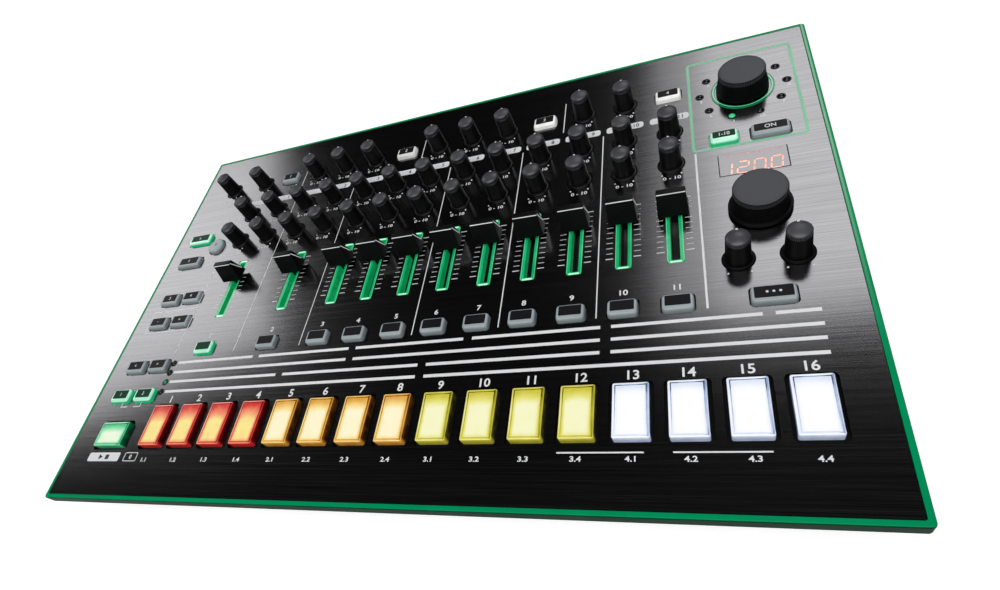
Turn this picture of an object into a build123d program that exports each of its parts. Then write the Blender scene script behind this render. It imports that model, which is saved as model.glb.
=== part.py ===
from build123d import *
import os
from math import cos, radians, sin

# Desktop drum machine. All lengths are in millimetres and all angles in degrees.
# X runs to the right, Y to the rear and Z up; the origin is on the table, under the middle.
# The panel has its own frame: x from its left edge, y from its front edge, z out of its face.

# ---- driving dimensions: whole object
WIDTH = 403.2               # over the edge trim, along X
DEPTH = 263.6               # over the edge trim, along the panel
TILT = 4.5                  # rise of the panel towards the rear
PANEL_MIDDLE_HEIGHT = 42.5  # of the panel's face above the table
FOOT_HEIGHT = 3.0
CORNER_RADIUS = 1.8

# ---- clearances
SLIP = 0.05                 # pieces that seat in an opening and don't move
RUNNING = 0.3               # pieces that move past each other
KEY_GAP = 0.5               # visible gap round a key
PAD_GAP = 1.6               # visible gap round a pad
BORE_GAP = 0.1              # small pins in their holes

# ---- panel, trim and case
PANEL_THICKNESS = 2.0
TRIM_BAND = 2.2
TRIM_HEIGHT = 5.8
TRIM_ROUNDING = 0.7
TRIM_GROOVE = 0.25          # dark gap between trim and panel
WALL = 2.5
CASE_INSET = 2.0            # case rim inside the trim's outer face
CASE_FLOOR_SIDE_INSET = 13.0
CASE_FLOOR_FRONT_INSET = 11.5
REAR_WALL_INSET = 6.0       # upright rear wall inside the trim's rear edge

# ---- main board below the panel
BOARD_DROP = 12.0           # from the panel's face to the board's top
BOARD_THICKNESS = 1.6
BOARD_SIDE_INSET = 12.0
BOARD_FRONT_INSET = 14.0
BOARD_REAR_INSET = 12.0
STANDOFF_RADIUS = 2.5

# ---- step pads
PAD_COUNT = 16
PADS_PER_COLOUR = 4
PAD_LEFT = 63.0             # centre of the first pad
PAD_RIGHT = 25.95           # centre of the last pad from the right edge
PAD_ROW_Y = 40.7
PAD_WIDTH = 14.2
PAD_LENGTH = 23.4
PAD_RISE = 2.2
PAD_WALL = 1.4
PAD_ROOF = 1.2
PAD_CHAMFER = 0.4
PAD_FLANGE = 2.4            # how far the flange reaches out below the panel
PAD_FLANGE_THICKNESS = 1.0
PAD_TRAVEL = 1.5
PAD_CORNER = 0.7
PAD_HOLE_CORNER = 2.2
START_PAD_X = 31.8
START_PAD_Y = 36.0
START_PAD_WIDTH = 20.8
START_PAD_LENGTH = 13.9

# ---- columns of knobs and faders
COLUMN_COUNT = 13
COLUMN_LEFT = 60.4          # centre of the first column
COLUMN_RIGHT = 69.8         # centre of the last column from the right edge
WIDE_VOICES = 2             # voices that have two columns of knobs each
REAR_TONE_ROW = 66.4        # rows of knobs, from the rear edge
FRONT_TONE_ROW = 89.8
TOP_ROW = 37.3
VOLUME_X = 31.5

# ---- knobs
SMALL_KNOB = {"top": 4.65, "base": 5.2, "skirt": 6.2, "height": 14.9, "dome": 1.0}
MEDIUM_KNOB = {"top": 4.75, "base": 5.3, "skirt": 6.3, "height": 15.3, "dome": 1.1}
KNOB_SKIRT_RISE = 0.3
KNOB_SKIRT_DROP = 1.0
KNOB_HOLE_GAP = 0.45
SHAFT_RADIUS = 3.0
SHAFT_GRIP = 7.0            # length of the shaft inside the knob
DIAL_TOP_RADIUS = 11.0
DIAL_LIFT = 0.6
EFFECT_DIAL = {"base": 12.4, "height": 11.6, "flange": 0.0}
TEMPO_DIAL = {"base": 11.9, "height": 12.3, "flange": 13.0}
DIAL_FLANGE_HEIGHT = 1.6
POT_WIDTH = 9.5
POT_LENGTH = 11.0
POT_TOP_DROP = 4.0          # from the panel's face to the top of a potentiometer's box
BUSHING_RADIUS = 4.2
BUSHING_DROP = 1.4
SHAFT_END_GAP = 1.0         # from the shaft's lower end to the board

# ---- faders
FADER_SLOT_TO_KNOBS = 18.7  # from the slot's rear end to the front row of knobs
FADER_SLOT_LENGTH = 43.5
FADER_SLOT_WIDTH = 7.3
FADER_LIGHT_WALL = 1.7
FADER_UP = 29.8             # where the fader stands at rest, from the slot's front end
FADER_CAP_BASE = (13.8, 9.2)
FADER_CAP_TOP = (12.7, 2.9)
FADER_CAP_TOP_SHIFT = 0.45
FADER_CAP_LIFT = 2.0
FADER_CAP_HEIGHT = 14.0
FADER_STEM = (3.0, 5.0)
FADER_STEM_DROP = 10.5
FADER_TRACK_WIDTH = 9.4
FADER_TRACK_LENGTH = 56.0
LIGHT_GUIDE_DROP = 4.4
LIGHT_GUIDE_FLANGE = 1.0

# ---- keys
KEY_RISE = 2.2
KEY_TRAVEL = 0.9
KEY_CORNER = 1.8
KEY_FLANGE = 0.7
KEY_FLANGE_THICKNESS = 1.0
KEY_STEM_RADIUS = 1.8
SWITCH_SIDE = 6.0
SWITCH_HEIGHT = 3.4
VOICE_KEY = (13.2, 8.4)
VOICE_KEY_TO_SLOT = 22.2    # from the key's centre to the slot's front end
STEP_KEY = (13.2, 8.4)
PAIR_KEY = (14.4, 8.4)
WIDE_KEY = (19.0, 8.4)
ROUND_KEY_RADIUS = 6.1
LEFT_KEY_X = 23.4
PAIR_SPACING = 18.1
PAIR_ROWS = (60.0, 79.3, 111.0, 129.2)
WIDE_KEY_ROWS = (160.3, 180.3)
ROUND_KEY_AT = (41.3, 171.5)
TAP_KEY = (17.1, 8.4)
DEPTH_KEY = (12.9, 8.4)
ON_KEY = (17.1, 8.4)

# ---- right section, from the right and rear edges
SECTION_CENTRE = 33.8       # centre line of the right section, from the right edge
EFFECT_DIAL_BACK = 43.6
EFFECT_KEYS_BACK = 78.5
DEPTH_KEY_OFFSET = -11.1
ON_KEY_OFFSET = 9.3
DISPLAY_BACK = 97.3
DISPLAY_WIDTH = 29.7
DISPLAY_LENGTH = 14.0
TEMPO_DIAL_BACK = 126.3
MEDIUM_KNOBS_BACK = 154.1
MEDIUM_KNOB_SPACING = 22.2
TAP_KEY_BACK = 174.3
RING_OUTER = 15.0
RING_WIDTH = 1.8
RING_RISE = 0.3
RING_GROOVE = 1.2
LAMP_CIRCLE = 20.4
LAMP_COUNT = 10
LAMP_RADIUS = 2.0
ROW_LAMP_X = 52.3
ROW_LAMP_RADIUS = 1.7
ROW_LAMPS_Y = (62.0, 68.2, 74.4, 80.6)
LAMP_RISE = 0.3

# ---- case pillars, screws and feet
PILLAR_FRONT_INSET = 19.0
PILLAR_REAR_INSET = 18.0
PILLAR_FRONT_SIDE_INSET = 35.0
PILLAR_REAR_SIDE_INSET = 22.0
PILLAR_FRONT_SPACING = 110.0
PILLAR_RADIUS = 4.2
BOSS_LENGTH = 7.0
SCREW_HEAD_RADIUS = 2.8
SCREW_HEAD_HEIGHT = 2.0
SCREW_RADIUS = 1.4
SCREW_LENGTH = 9.0
FOOT_RADIUS = 9.0
FOOT_SIDE_INSET = 52.0
FOOT_END_INSET = 42.0
STANDOFF_SPACING = 100.0
STANDOFF_REAR_INSET = 19.0

# ---- rear sockets, in a row from the right edge
SOCKET_HEIGHT = 24.0
JACK_COUNT = 7
JACK_PITCH = 24.0
JACK_TO_PILLAR = 23.0
JACK_BORE_RADIUS = 3.3
JACK_THREAD_RADIUS = 5.0
JACK_NUT_RADIUS = 6.6
JACK_NUT_HEIGHT = 2.0
JACK_BOX = (15.0, 20.0, 15.0)
ROUND_SOCKET_PITCH = 24.0
ROUND_SOCKET_RADIUS = 7.5
ROUND_SOCKET_WALL = 0.9
ROUND_SOCKET_CORE = 5.3
ROUND_SOCKET_DEPTH = 12.0
ROUND_SOCKET_PINS = 5
PIN_CIRCLE = 3.6
PIN_HOLE_RADIUS = 0.7
USB_TO_ROUND = 24.0
USB_SHELL = (12.0, 16.0, 10.8)
USB_MOUTH = (8.5, 8.0)
USB_TONGUE = (5.6, 3.2)
USB_SHELL_WALL = 1.2
INLET_TO_USB = 19.0
INLET_BOX = (11.0, 14.0, 11.0)
INLET_BORE_RADIUS = 2.9
INLET_PIN_RADIUS = 1.0
ROCKER_SIDE_INSET = 44.0
ROCKER_TO_INLET = 19.0
ROCKER_WIDTH = 8.6
ROCKER_HALF_HEIGHT = 6.2
ROCKER_REACH = 4.2
ROCKER_TILT = 8.0
ROCKER_PIN_RADIUS = 1.0
ROCKER_PIN_OVERHANG = 1.0
ROCKER_CAVITY_DEPTH = 5.5
ROCKER_HOUSING_DEPTH = 12.0
ROCKER_HOUSING_WALL = 2.2
ROCKER_BEZEL_LIP = 1.2
SOCKET_BOARD_THICKNESS = 1.6
SOCKET_BOARD_DEPTH = 26.0
SOCKET_BOARD_MARGIN = 8.0

# ---- places worked out from the dimensions above
PANEL = Pos(0, 0, PANEL_MIDDLE_HEIGHT) * Rot(TILT, 0, 0)
PAD_PITCH = (WIDTH - PAD_LEFT - PAD_RIGHT) / (PAD_COUNT - 1)
COLUMN_PITCH = (WIDTH - COLUMN_LEFT - COLUMN_RIGHT) / (COLUMN_COUNT - 1)
SECTION_X = WIDTH - SECTION_CENTRE
REAR_WALL_Y = DEPTH / 2 - REAR_WALL_INSET
FADER_SLOT_REAR = DEPTH - FRONT_TONE_ROW - FADER_SLOT_TO_KNOBS
FADER_SLOT_FRONT = FADER_SLOT_REAR - FADER_SLOT_LENGTH
FADER_SLOT_Y = (FADER_SLOT_FRONT + FADER_SLOT_REAR) / 2
FADER_AT = FADER_SLOT_FRONT + FADER_UP
VOICE_KEY_Y = FADER_SLOT_FRONT - VOICE_KEY_TO_SLOT
FLANGE_TOP = -PANEL_THICKNESS - RUNNING
SWITCH_TOP = -BOARD_DROP + SWITCH_HEIGHT
ROCKER_X = WIDTH / 2 - ROCKER_SIDE_INSET
INLET_X = ROCKER_X - ROCKER_TO_INLET
USB_X = INLET_X - INLET_TO_USB
ROUND_SOCKETS_X = [USB_X - USB_TO_ROUND - ROUND_SOCKET_PITCH * number for number in (0, 1)]
REAR_PILLAR_X = ROUND_SOCKETS_X[-1] - JACK_TO_PILLAR
JACKS_X = [REAR_PILLAR_X - JACK_TO_PILLAR - JACK_PITCH * number for number in range(JACK_COUNT)]


def pillar_places():
    """X and Y of every screw pillar, from the middle of the case."""
    front = -DEPTH / 2 + PILLAR_FRONT_INSET
    rear = DEPTH / 2 - PILLAR_REAR_INSET
    outer = WIDTH / 2 - PILLAR_FRONT_SIDE_INSET
    inner = PILLAR_FRONT_SPACING / 2
    corner = WIDTH / 2 - PILLAR_REAR_SIDE_INSET
    places = [(x, front) for x in (-outer, -inner, inner, outer)]
    return places + [(x, rear) for x in (-corner, REAR_PILLAR_X, corner)]


def standoff_places():
    """Free places between the rows of controls, in the panel's frame."""
    rows = ((VOICE_KEY_Y + VOICE_KEY[1] / 2 + FADER_SLOT_FRONT) / 2 - STANDOFF_RADIUS,
            (FADER_SLOT_REAR + DEPTH - FRONT_TONE_ROW) / 2,
            DEPTH - STANDOFF_REAR_INSET)
    return [(WIDTH / 2 + side * STANDOFF_SPACING, y) for side in (-1, 0, 1) for y in rows]


PILLARS = pillar_places()


def at(x, y, z=0.0):
    """Place in the panel's frame, from the panel's left and front edges."""
    return Pos(x - WIDTH / 2, y - DEPTH / 2, z)


def column_x(column):
    return COLUMN_LEFT + COLUMN_PITCH * column


def fader_columns():
    """Column of each voice's fader; the wide voices have theirs between two columns of knobs."""
    wide = [2 * voice + 0.5 for voice in range(WIDE_VOICES)]
    return wide + list(range(2 * WIDE_VOICES, COLUMN_COUNT))


def block(width, length, low, high):
    """Box centred on x and y, from z = low to z = high."""
    return Pos(0, 0, (low + high) / 2) * Box(width, length, high - low)


def disc(radius, low, high):
    """Cylinder on the z axis, from z = low to z = high."""
    return Pos(0, 0, (low + high) / 2) * Cylinder(radius, high - low)


def rounded_block(width, length, radius, low, high):
    return Pos(0, 0, low) * extrude(RectangleRounded(width, length, radius), amount=high - low)


# ---- places of the controls
FADERS = [(column_x(column), FADER_AT) for column in fader_columns()]

SMALL_KNOBS = {"volume_knob": (VOLUME_X, DEPTH - TOP_ROW)}
for name, columns in {"accent_knob": [0], "reverb_knob": [2, 3, 4], "delay_knob": [6, 7, 8],
                      "input_knob": [10, 11]}.items():
    for number, column in enumerate(columns, 1):
        label = name if len(columns) == 1 else f"{name}_{number}"
        SMALL_KNOBS[label] = (column_x(column), DEPTH - TOP_ROW)
for name, back in {"rear_tone_knob": REAR_TONE_ROW, "front_tone_knob": FRONT_TONE_ROW}.items():
    for column in range(COLUMN_COUNT):
        SMALL_KNOBS[f"{name}_{column + 1:02d}"] = (column_x(column), DEPTH - back)

MEDIUM_KNOBS = {
    "shuffle_knob": (SECTION_X - MEDIUM_KNOB_SPACING / 2, DEPTH - MEDIUM_KNOBS_BACK),
    "fine_tempo_knob": (SECTION_X + MEDIUM_KNOB_SPACING / 2, DEPTH - MEDIUM_KNOBS_BACK),
}
DIALS = {
    "effect_dial": (EFFECT_DIAL, (SECTION_X, DEPTH - EFFECT_DIAL_BACK)),
    "tempo_dial": (TEMPO_DIAL, (SECTION_X, DEPTH - TEMPO_DIAL_BACK)),
}

VOICE_KEYS = [(column_x(column), VOICE_KEY_Y, VOICE_KEY) for column in fader_columns()]
FUNCTION_KEYS = [(column_x(column), DEPTH - TOP_ROW, STEP_KEY) for column in (1, 5, 9, 12)]
FUNCTION_KEYS += [(LEFT_KEY_X, y, WIDE_KEY) for y in WIDE_KEY_ROWS]
FUNCTION_KEYS += [(LEFT_KEY_X + side * PAIR_SPACING, y, PAIR_KEY) for y in PAIR_ROWS for side in (0, 1)]
FUNCTION_KEYS += [
    (*ROUND_KEY_AT, None),
    (SECTION_X, DEPTH - TAP_KEY_BACK, TAP_KEY),
    (SECTION_X + DEPTH_KEY_OFFSET, DEPTH - EFFECT_KEYS_BACK, DEPTH_KEY),
    (SECTION_X + ON_KEY_OFFSET, DEPTH - EFFECT_KEYS_BACK, ON_KEY),
]

PADS = [(PAD_LEFT + PAD_PITCH * step, PAD_ROW_Y, PAD_WIDTH, PAD_LENGTH) for step in range(PAD_COUNT)]
START_PAD = (START_PAD_X, START_PAD_Y, START_PAD_WIDTH, START_PAD_LENGTH)

DIAL_LAMPS = [
    at(SECTION_X, DEPTH - EFFECT_DIAL_BACK) * Rot(0, 0, 360 / LAMP_COUNT * (step + 0.5)) * Pos(0, LAMP_CIRCLE, 0)
    for step in range(LAMP_COUNT)
]
ROW_LAMPS = [at(ROW_LAMP_X, y) for y in ROW_LAMPS_Y]


# ---- casing
def panel_openings():
    """Outlines of every hole through the panel."""
    holes = []
    for x, y, width, length in PADS + [START_PAD]:
        size = (width + 2 * PAD_GAP, length + 2 * PAD_GAP)
        holes.append(at(x, y) * RectangleRounded(*size, PAD_HOLE_CORNER))
    for x, y, size in VOICE_KEYS + FUNCTION_KEYS:
        if size is None:
            holes.append(at(x, y) * Circle(ROUND_KEY_RADIUS + KEY_GAP))
        else:
            width, length = size
            holes.append(at(x, y) * RectangleRounded(width + 2 * KEY_GAP, length + 2 * KEY_GAP, KEY_CORNER))
    for knobs, size in ((SMALL_KNOBS, SMALL_KNOB), (MEDIUM_KNOBS, MEDIUM_KNOB)):
        for x, y in knobs.values():
            holes.append(at(x, y) * Circle(size["skirt"] + KNOB_HOLE_GAP))
    for _, (x, y) in DIALS.values():
        holes.append(at(x, y) * Circle(BUSHING_RADIUS + SLIP))
    for x, _ in FADERS:
        holes.append(at(x, FADER_SLOT_Y) * Rectangle(FADER_SLOT_WIDTH, FADER_SLOT_LENGTH))
    holes += [place * Circle(LAMP_RADIUS) for place in DIAL_LAMPS]
    holes += [place * Circle(ROW_LAMP_RADIUS) for place in ROW_LAMPS]
    holes.append(at(SECTION_X, DEPTH - DISPLAY_BACK) * Rectangle(DISPLAY_WIDTH, DISPLAY_LENGTH))
    return holes


def below_panel(drop):
    """Everything more than drop below the panel's face, in world axes."""
    reach = 2 * (WIDTH + DEPTH)
    return PANEL * Pos(0, 0, -drop - reach / 2) * Box(reach, reach, reach)


def top_panel():
    """Brushed plate with its openings, the groove for the light ring, screw bosses and standoffs."""
    inset = TRIM_BAND + TRIM_GROOVE
    face = RectangleRounded(WIDTH - 2 * inset, DEPTH - 2 * inset, CORNER_RADIUS / 2)
    plate = extrude(face - panel_openings(), amount=-PANEL_THICKNESS)
    groove = Circle(RING_OUTER) - Circle(RING_OUTER - RING_WIDTH)
    plate -= at(SECTION_X, DEPTH - EFFECT_DIAL_BACK) * extrude(groove, amount=-RING_GROOVE)
    plate += [
        at(x, y) * disc(STANDOFF_RADIUS, -BOARD_DROP, -PANEL_THICKNESS)
        for x, y in standoff_places()
    ]
    plate = PANEL * plate
    for x, y in PILLARS:
        boss = Pos(x, y) * disc(PILLAR_RADIUS, boss_bottom(y), boss_bottom(y) + 2 * BOSS_LENGTH)
        plate += boss & below_panel(PANEL_THICKNESS / 2)
        plate -= Pos(x, y) * disc(SCREW_RADIUS, boss_bottom(y), boss_bottom(y) + SCREW_LENGTH - WALL)
    return [plate]


def boss_bottom(y):
    """Height of the screw boss's lower face for a pillar at y."""
    return PANEL_MIDDLE_HEIGHT + y * sin(radians(TILT)) - PANEL_THICKNESS - BOSS_LENGTH


def edge_trim():
    """Rounded band round the panel, with a ledge that the panel's edge rests on."""
    band = rounded_block(WIDTH, DEPTH, CORNER_RADIUS, -TRIM_HEIGHT, 0)
    band = fillet(band.faces().sort_by(Axis.Z)[-1].edges(), TRIM_ROUNDING)
    opening = rounded_block(WIDTH - 2 * TRIM_BAND, DEPTH - 2 * TRIM_BAND, CORNER_RADIUS / 2,
                            -PANEL_THICKNESS, 0)
    ledge = TRIM_BAND + WALL
    through = block(WIDTH - 2 * ledge, DEPTH - 2 * ledge, -TRIM_HEIGHT, 0)
    return [PANEL * (band - opening - through)]


def case_solid(inset):
    """Tapered tray shape, shrunk by inset on every side and raised by inset at the bottom."""
    rim_drop = TRIM_HEIGHT
    rear_rim = (REAR_WALL_Y - rim_drop * sin(radians(TILT))) / cos(radians(TILT))
    front_rim = -DEPTH / 2 + CASE_INSET
    low = FOOT_HEIGHT + inset
    floor_front = -DEPTH / 2 + CASE_FLOOR_FRONT_INSET + inset
    floor_rear = REAR_WALL_Y - inset
    rim_middle = (front_rim + rear_rim) / 2
    rim = PANEL * Pos(0, rim_middle, -rim_drop) * Rectangle(
        WIDTH - 2 * (CASE_INSET + inset), rear_rim - front_rim - 2 * inset)
    floor = Pos(0, (floor_front + floor_rear) / 2, low) * Rectangle(
        WIDTH - 2 * (CASE_FLOOR_SIDE_INSET + inset), floor_rear - floor_front)
    return loft([floor, rim], ruled=True)


def bottom_case():
    """Tray with screw pillars and the rear wall's socket holes."""
    shell = case_solid(0) - case_solid(WALL)
    for x, y in PILLARS:
        top = boss_bottom(y)
        shell += Pos(x, y) * disc(PILLAR_RADIUS, FOOT_HEIGHT, top)
        shell -= Pos(x, y) * disc(SCREW_HEAD_RADIUS + RUNNING, FOOT_HEIGHT, top - WALL)
        shell -= Pos(x, y) * disc(SCREW_RADIUS + RUNNING, FOOT_HEIGHT, top)
    for x in JACKS_X:
        shell -= rearward(x) * disc(JACK_THREAD_RADIUS + SLIP, -WALL - 1, 1)
    for x in ROUND_SOCKETS_X:
        shell -= rearward(x) * disc(ROUND_SOCKET_RADIUS + SLIP, -WALL - 1, 1)
    shell -= rearward(USB_X) * block(USB_SHELL[0] + 2 * SLIP, USB_SHELL[2] + 2 * SLIP, -WALL - 1, 1)
    shell -= rearward(INLET_X) * block(INLET_BOX[0] + 2 * SLIP, INLET_BOX[2] + 2 * SLIP, -WALL - 1, 1)
    width, height = rocker_housing_size()
    shell -= rearward(ROCKER_X) * block(width + 2 * SLIP, height + 2 * SLIP, -WALL - 1, 1)
    return [shell]


def rubber_feet():
    x = WIDTH / 2 - FOOT_SIDE_INSET
    y = DEPTH / 2 - FOOT_END_INSET
    corners = [(side * x, end * y) for side in (-1, 1) for end in (-1, 1)]
    return [Pos(*corner) * disc(FOOT_RADIUS, 0, FOOT_HEIGHT) for corner in corners]


def case_screws():
    """Pan-head screws, from below, deep in the pillars."""
    screws = []
    for x, y in PILLARS:
        seat = boss_bottom(y) - WALL
        shank = disc(SCREW_RADIUS, seat, seat + SCREW_LENGTH)
        screws.append(Pos(x, y) * (disc(SCREW_HEAD_RADIUS, seat - SCREW_HEAD_HEIGHT, seat) + shank))
    return screws


# ---- electronics
def main_board():
    """Board with a key switch below each pad and key."""
    width = WIDTH - 2 * BOARD_SIDE_INSET
    length = DEPTH - BOARD_FRONT_INSET - BOARD_REAR_INSET
    bottom = -BOARD_DROP - BOARD_THICKNESS
    board = at(WIDTH / 2, BOARD_FRONT_INSET + length / 2) * block(width, length, bottom, -BOARD_DROP)
    board = PANEL * board
    for x, y in PILLARS:
        board -= Pos(x, y) * disc(PILLAR_RADIUS + 2 * RUNNING, 0, PANEL_MIDDLE_HEIGHT + TILT * 4)
    keys = [(x, y) for x, y, *_ in PADS + [START_PAD] + VOICE_KEYS + FUNCTION_KEYS]
    switches = [PANEL * at(x, y) * block(SWITCH_SIDE, SWITCH_SIDE, -BOARD_DROP, SWITCH_TOP) for x, y in keys]
    return [board] + switches


def control_places():
    knobs = list(SMALL_KNOBS.values()) + list(MEDIUM_KNOBS.values())
    return knobs + [place for _, place in DIALS.values()]


def rotary_controls():
    """Rotary potentiometers on the board, each with a bushing that guides the knob's shaft."""
    box = block(POT_WIDTH, POT_LENGTH, -BOARD_DROP, -POT_TOP_DROP)
    box += disc(BUSHING_RADIUS, -POT_TOP_DROP, -BUSHING_DROP)
    box -= disc(SHAFT_RADIUS + RUNNING, -BOARD_DROP + SHAFT_END_GAP - RUNNING, 0)
    return [PANEL * at(x, y) * box for x, y in control_places()]


def fader_tracks():
    """Slide potentiometers: slotted boxes on the board, below the light guides."""
    stem_width, stem_length = FADER_STEM
    box = block(FADER_TRACK_WIDTH, FADER_TRACK_LENGTH, -BOARD_DROP, -LIGHT_GUIDE_DROP)
    slot_length = FADER_SLOT_LENGTH - 2 * FADER_LIGHT_WALL
    box -= block(stem_width + 2 * RUNNING, slot_length, -FADER_STEM_DROP - RUNNING, 0)
    return [PANEL * at(x, FADER_SLOT_Y) * box for x, _ in FADERS]


def light_guides():
    """Green frame that lines each fader's slot, and the ring round the effect dial."""
    width = FADER_SLOT_WIDTH
    length = FADER_SLOT_LENGTH
    frame = block(width - 2 * SLIP, length - 2 * SLIP, -LIGHT_GUIDE_DROP, -4 * SLIP)
    reach = 2 * LIGHT_GUIDE_FLANGE
    frame += block(width + reach, length + reach, -LIGHT_GUIDE_DROP, -PANEL_THICKNESS)
    frame -= block(width - 2 * FADER_LIGHT_WALL, length - 2 * FADER_LIGHT_WALL, -LIGHT_GUIDE_DROP, 0)
    guides = [PANEL * at(x, FADER_SLOT_Y) * frame for x, _ in FADERS]
    ring = Circle(RING_OUTER - SLIP) - Circle(RING_OUTER - RING_WIDTH + SLIP)
    ring = Pos(0, 0, -RING_GROOVE) * extrude(ring, amount=RING_GROOVE + RING_RISE)
    guides.append(PANEL * at(SECTION_X, DEPTH - EFFECT_DIAL_BACK) * ring)
    return guides


def lamp_lenses():
    lenses = [PANEL * place * lamp(LAMP_RADIUS - SLIP) for place in DIAL_LAMPS]
    return lenses + [PANEL * place * lamp(ROW_LAMP_RADIUS - SLIP) for place in ROW_LAMPS]


def lamp(radius):
    """Round lens with a rounded top and a stem down to its diode on the board."""
    lens = disc(radius, -PANEL_THICKNESS, LAMP_RISE)
    lens = fillet(lens.faces().sort_by(Axis.Z)[-1].edges(), LAMP_RISE)
    return lens + disc(radius / 2, -BOARD_DROP, -PANEL_THICKNESS)


def display():
    """Window flush with the panel, and the display module behind it."""
    place = PANEL * at(SECTION_X, DEPTH - DISPLAY_BACK)
    window = block(DISPLAY_WIDTH - 2 * SLIP, DISPLAY_LENGTH - 2 * SLIP, -PANEL_THICKNESS, 0)
    module = block(DISPLAY_WIDTH + 1, DISPLAY_LENGTH + 1, -BOARD_DROP, -PANEL_THICKNESS)
    return [place * window, place * module]


# ---- rear sockets
def rearward(x):
    """Frame on the outside of the rear wall: z out of the wall, y up."""
    return Pos(x, REAR_WALL_Y, SOCKET_HEIGHT) * Rot(-90, 0, 0) * Rot(0, 0, 180)


def jack():
    """Quarter-inch socket: box inside, threaded neck through the wall, nut outside."""
    width, depth, height = JACK_BOX
    body = block(width, height, -WALL - depth, -WALL)
    body += disc(JACK_THREAD_RADIUS, -WALL, JACK_NUT_HEIGHT)
    nut = extrude(RegularPolygon(JACK_NUT_RADIUS, 6), amount=JACK_NUT_HEIGHT)
    nut -= disc(JACK_THREAD_RADIUS, 0, JACK_NUT_HEIGHT)
    body -= disc(JACK_BORE_RADIUS, -depth, JACK_NUT_HEIGHT)
    return [body, nut]


def round_socket():
    """Five-pin round socket: metal shell and an insert with pin holes."""
    bottom = -ROUND_SOCKET_DEPTH
    shell = disc(ROUND_SOCKET_RADIUS, bottom, WALL / 2)
    shell -= disc(ROUND_SOCKET_RADIUS - ROUND_SOCKET_WALL, bottom + WALL, WALL / 2)
    insert = disc(ROUND_SOCKET_CORE, bottom + WALL, 0)
    for number in range(ROUND_SOCKET_PINS):
        angle = 180 / (ROUND_SOCKET_PINS - 1) * number
        insert -= Rot(0, 0, angle) * Pos(PIN_CIRCLE, 0) * disc(PIN_HOLE_RADIUS, bottom + 2 * WALL, 0)
    return [shell, insert]


def socket_seat(width, height, depth):
    """Lower part of a small socket, from its body down to the socket board."""
    bottom = -JACK_BOX[2] / 2
    middle = (bottom - height / 2) / 2
    return Pos(0, middle) * block(width, -bottom - height / 2, -depth, -WALL)


def usb_socket():
    width, depth, height = USB_SHELL
    shell = block(width, height, -depth, USB_SHELL_WALL) + socket_seat(width, height, depth)
    shell -= block(*USB_MOUTH, -depth + USB_SHELL_WALL, USB_SHELL_WALL)
    tongue = block(*USB_TONGUE, -depth + USB_SHELL_WALL, -USB_SHELL_WALL)
    return [shell, tongue]


def power_inlet():
    width, depth, height = INLET_BOX
    body = block(width, height, -depth, USB_SHELL_WALL) + socket_seat(width, height, depth)
    body -= disc(INLET_BORE_RADIUS, -depth + WALL, USB_SHELL_WALL)
    pin = disc(INLET_PIN_RADIUS, -depth + WALL, -USB_SHELL_WALL)
    return [body, pin]


def rocker_housing_size():
    swing = ROCKER_REACH * sin(radians(ROCKER_TILT)) + RUNNING
    width = ROCKER_WIDTH + 2 * (RUNNING + ROCKER_HOUSING_WALL)
    height = 2 * (ROCKER_HALF_HEIGHT + swing + ROCKER_HOUSING_WALL)
    return width, height


def rocker_housing():
    """Box that carries the power rocker on its pin."""
    width, height = rocker_housing_size()
    body = block(width, height, -ROCKER_HOUSING_DEPTH, 0)
    body += block(width + 2 * ROCKER_BEZEL_LIP, height + 2 * ROCKER_BEZEL_LIP, 0, ROCKER_BEZEL_LIP)
    wall = 2 * ROCKER_HOUSING_WALL
    body -= block(width - wall, height - wall, -ROCKER_CAVITY_DEPTH, ROCKER_BEZEL_LIP)
    reach = ROCKER_WIDTH + 2 * (ROCKER_PIN_OVERHANG + BORE_GAP)
    body -= Pos(0, 0, rocker_pin_z()) * Rot(0, 90, 0) * Cylinder(ROCKER_PIN_RADIUS + BORE_GAP, reach)
    return [body]


def rocker_pin_z():
    """Rocker's pin from the wall's outer face."""
    return -ROCKER_PIN_RADIUS - BORE_GAP


def power_rocker():
    """Rocker with a hollowed face, tilted about its pin; its lower half is pressed in."""
    top = ROCKER_REACH
    half = ROCKER_HALF_HEIGHT
    outline = Polyline((-half, top), (0, top * 0.7), (half, top), (half * 0.7, -top * 0.6),
                       (-half * 0.7, -top * 0.6), close=True)
    face = Plane.YZ * make_face(outline)
    body = extrude(face, amount=ROCKER_WIDTH / 2, both=True)
    reach = ROCKER_WIDTH + 2 * ROCKER_PIN_OVERHANG
    body += Rot(0, 90, 0) * Cylinder(ROCKER_PIN_RADIUS, reach)
    return [rearward(ROCKER_X) * Pos(0, 0, rocker_pin_z()) * Rot(ROCKER_TILT, 0, 0) * body]


def rear_sockets():
    """All sockets on the rear wall, on a narrow board of their own."""
    pieces = []
    for x in JACKS_X:
        pieces += [rearward(x) * piece for piece in jack()]
    for x in ROUND_SOCKETS_X:
        pieces += [rearward(x) * piece for piece in round_socket()]
    pieces += [rearward(USB_X) * piece for piece in usb_socket()]
    pieces += [rearward(INLET_X) * piece for piece in power_inlet()]
    pieces += [rearward(ROCKER_X) * piece for piece in rocker_housing()]
    return pieces + [socket_board()]


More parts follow.
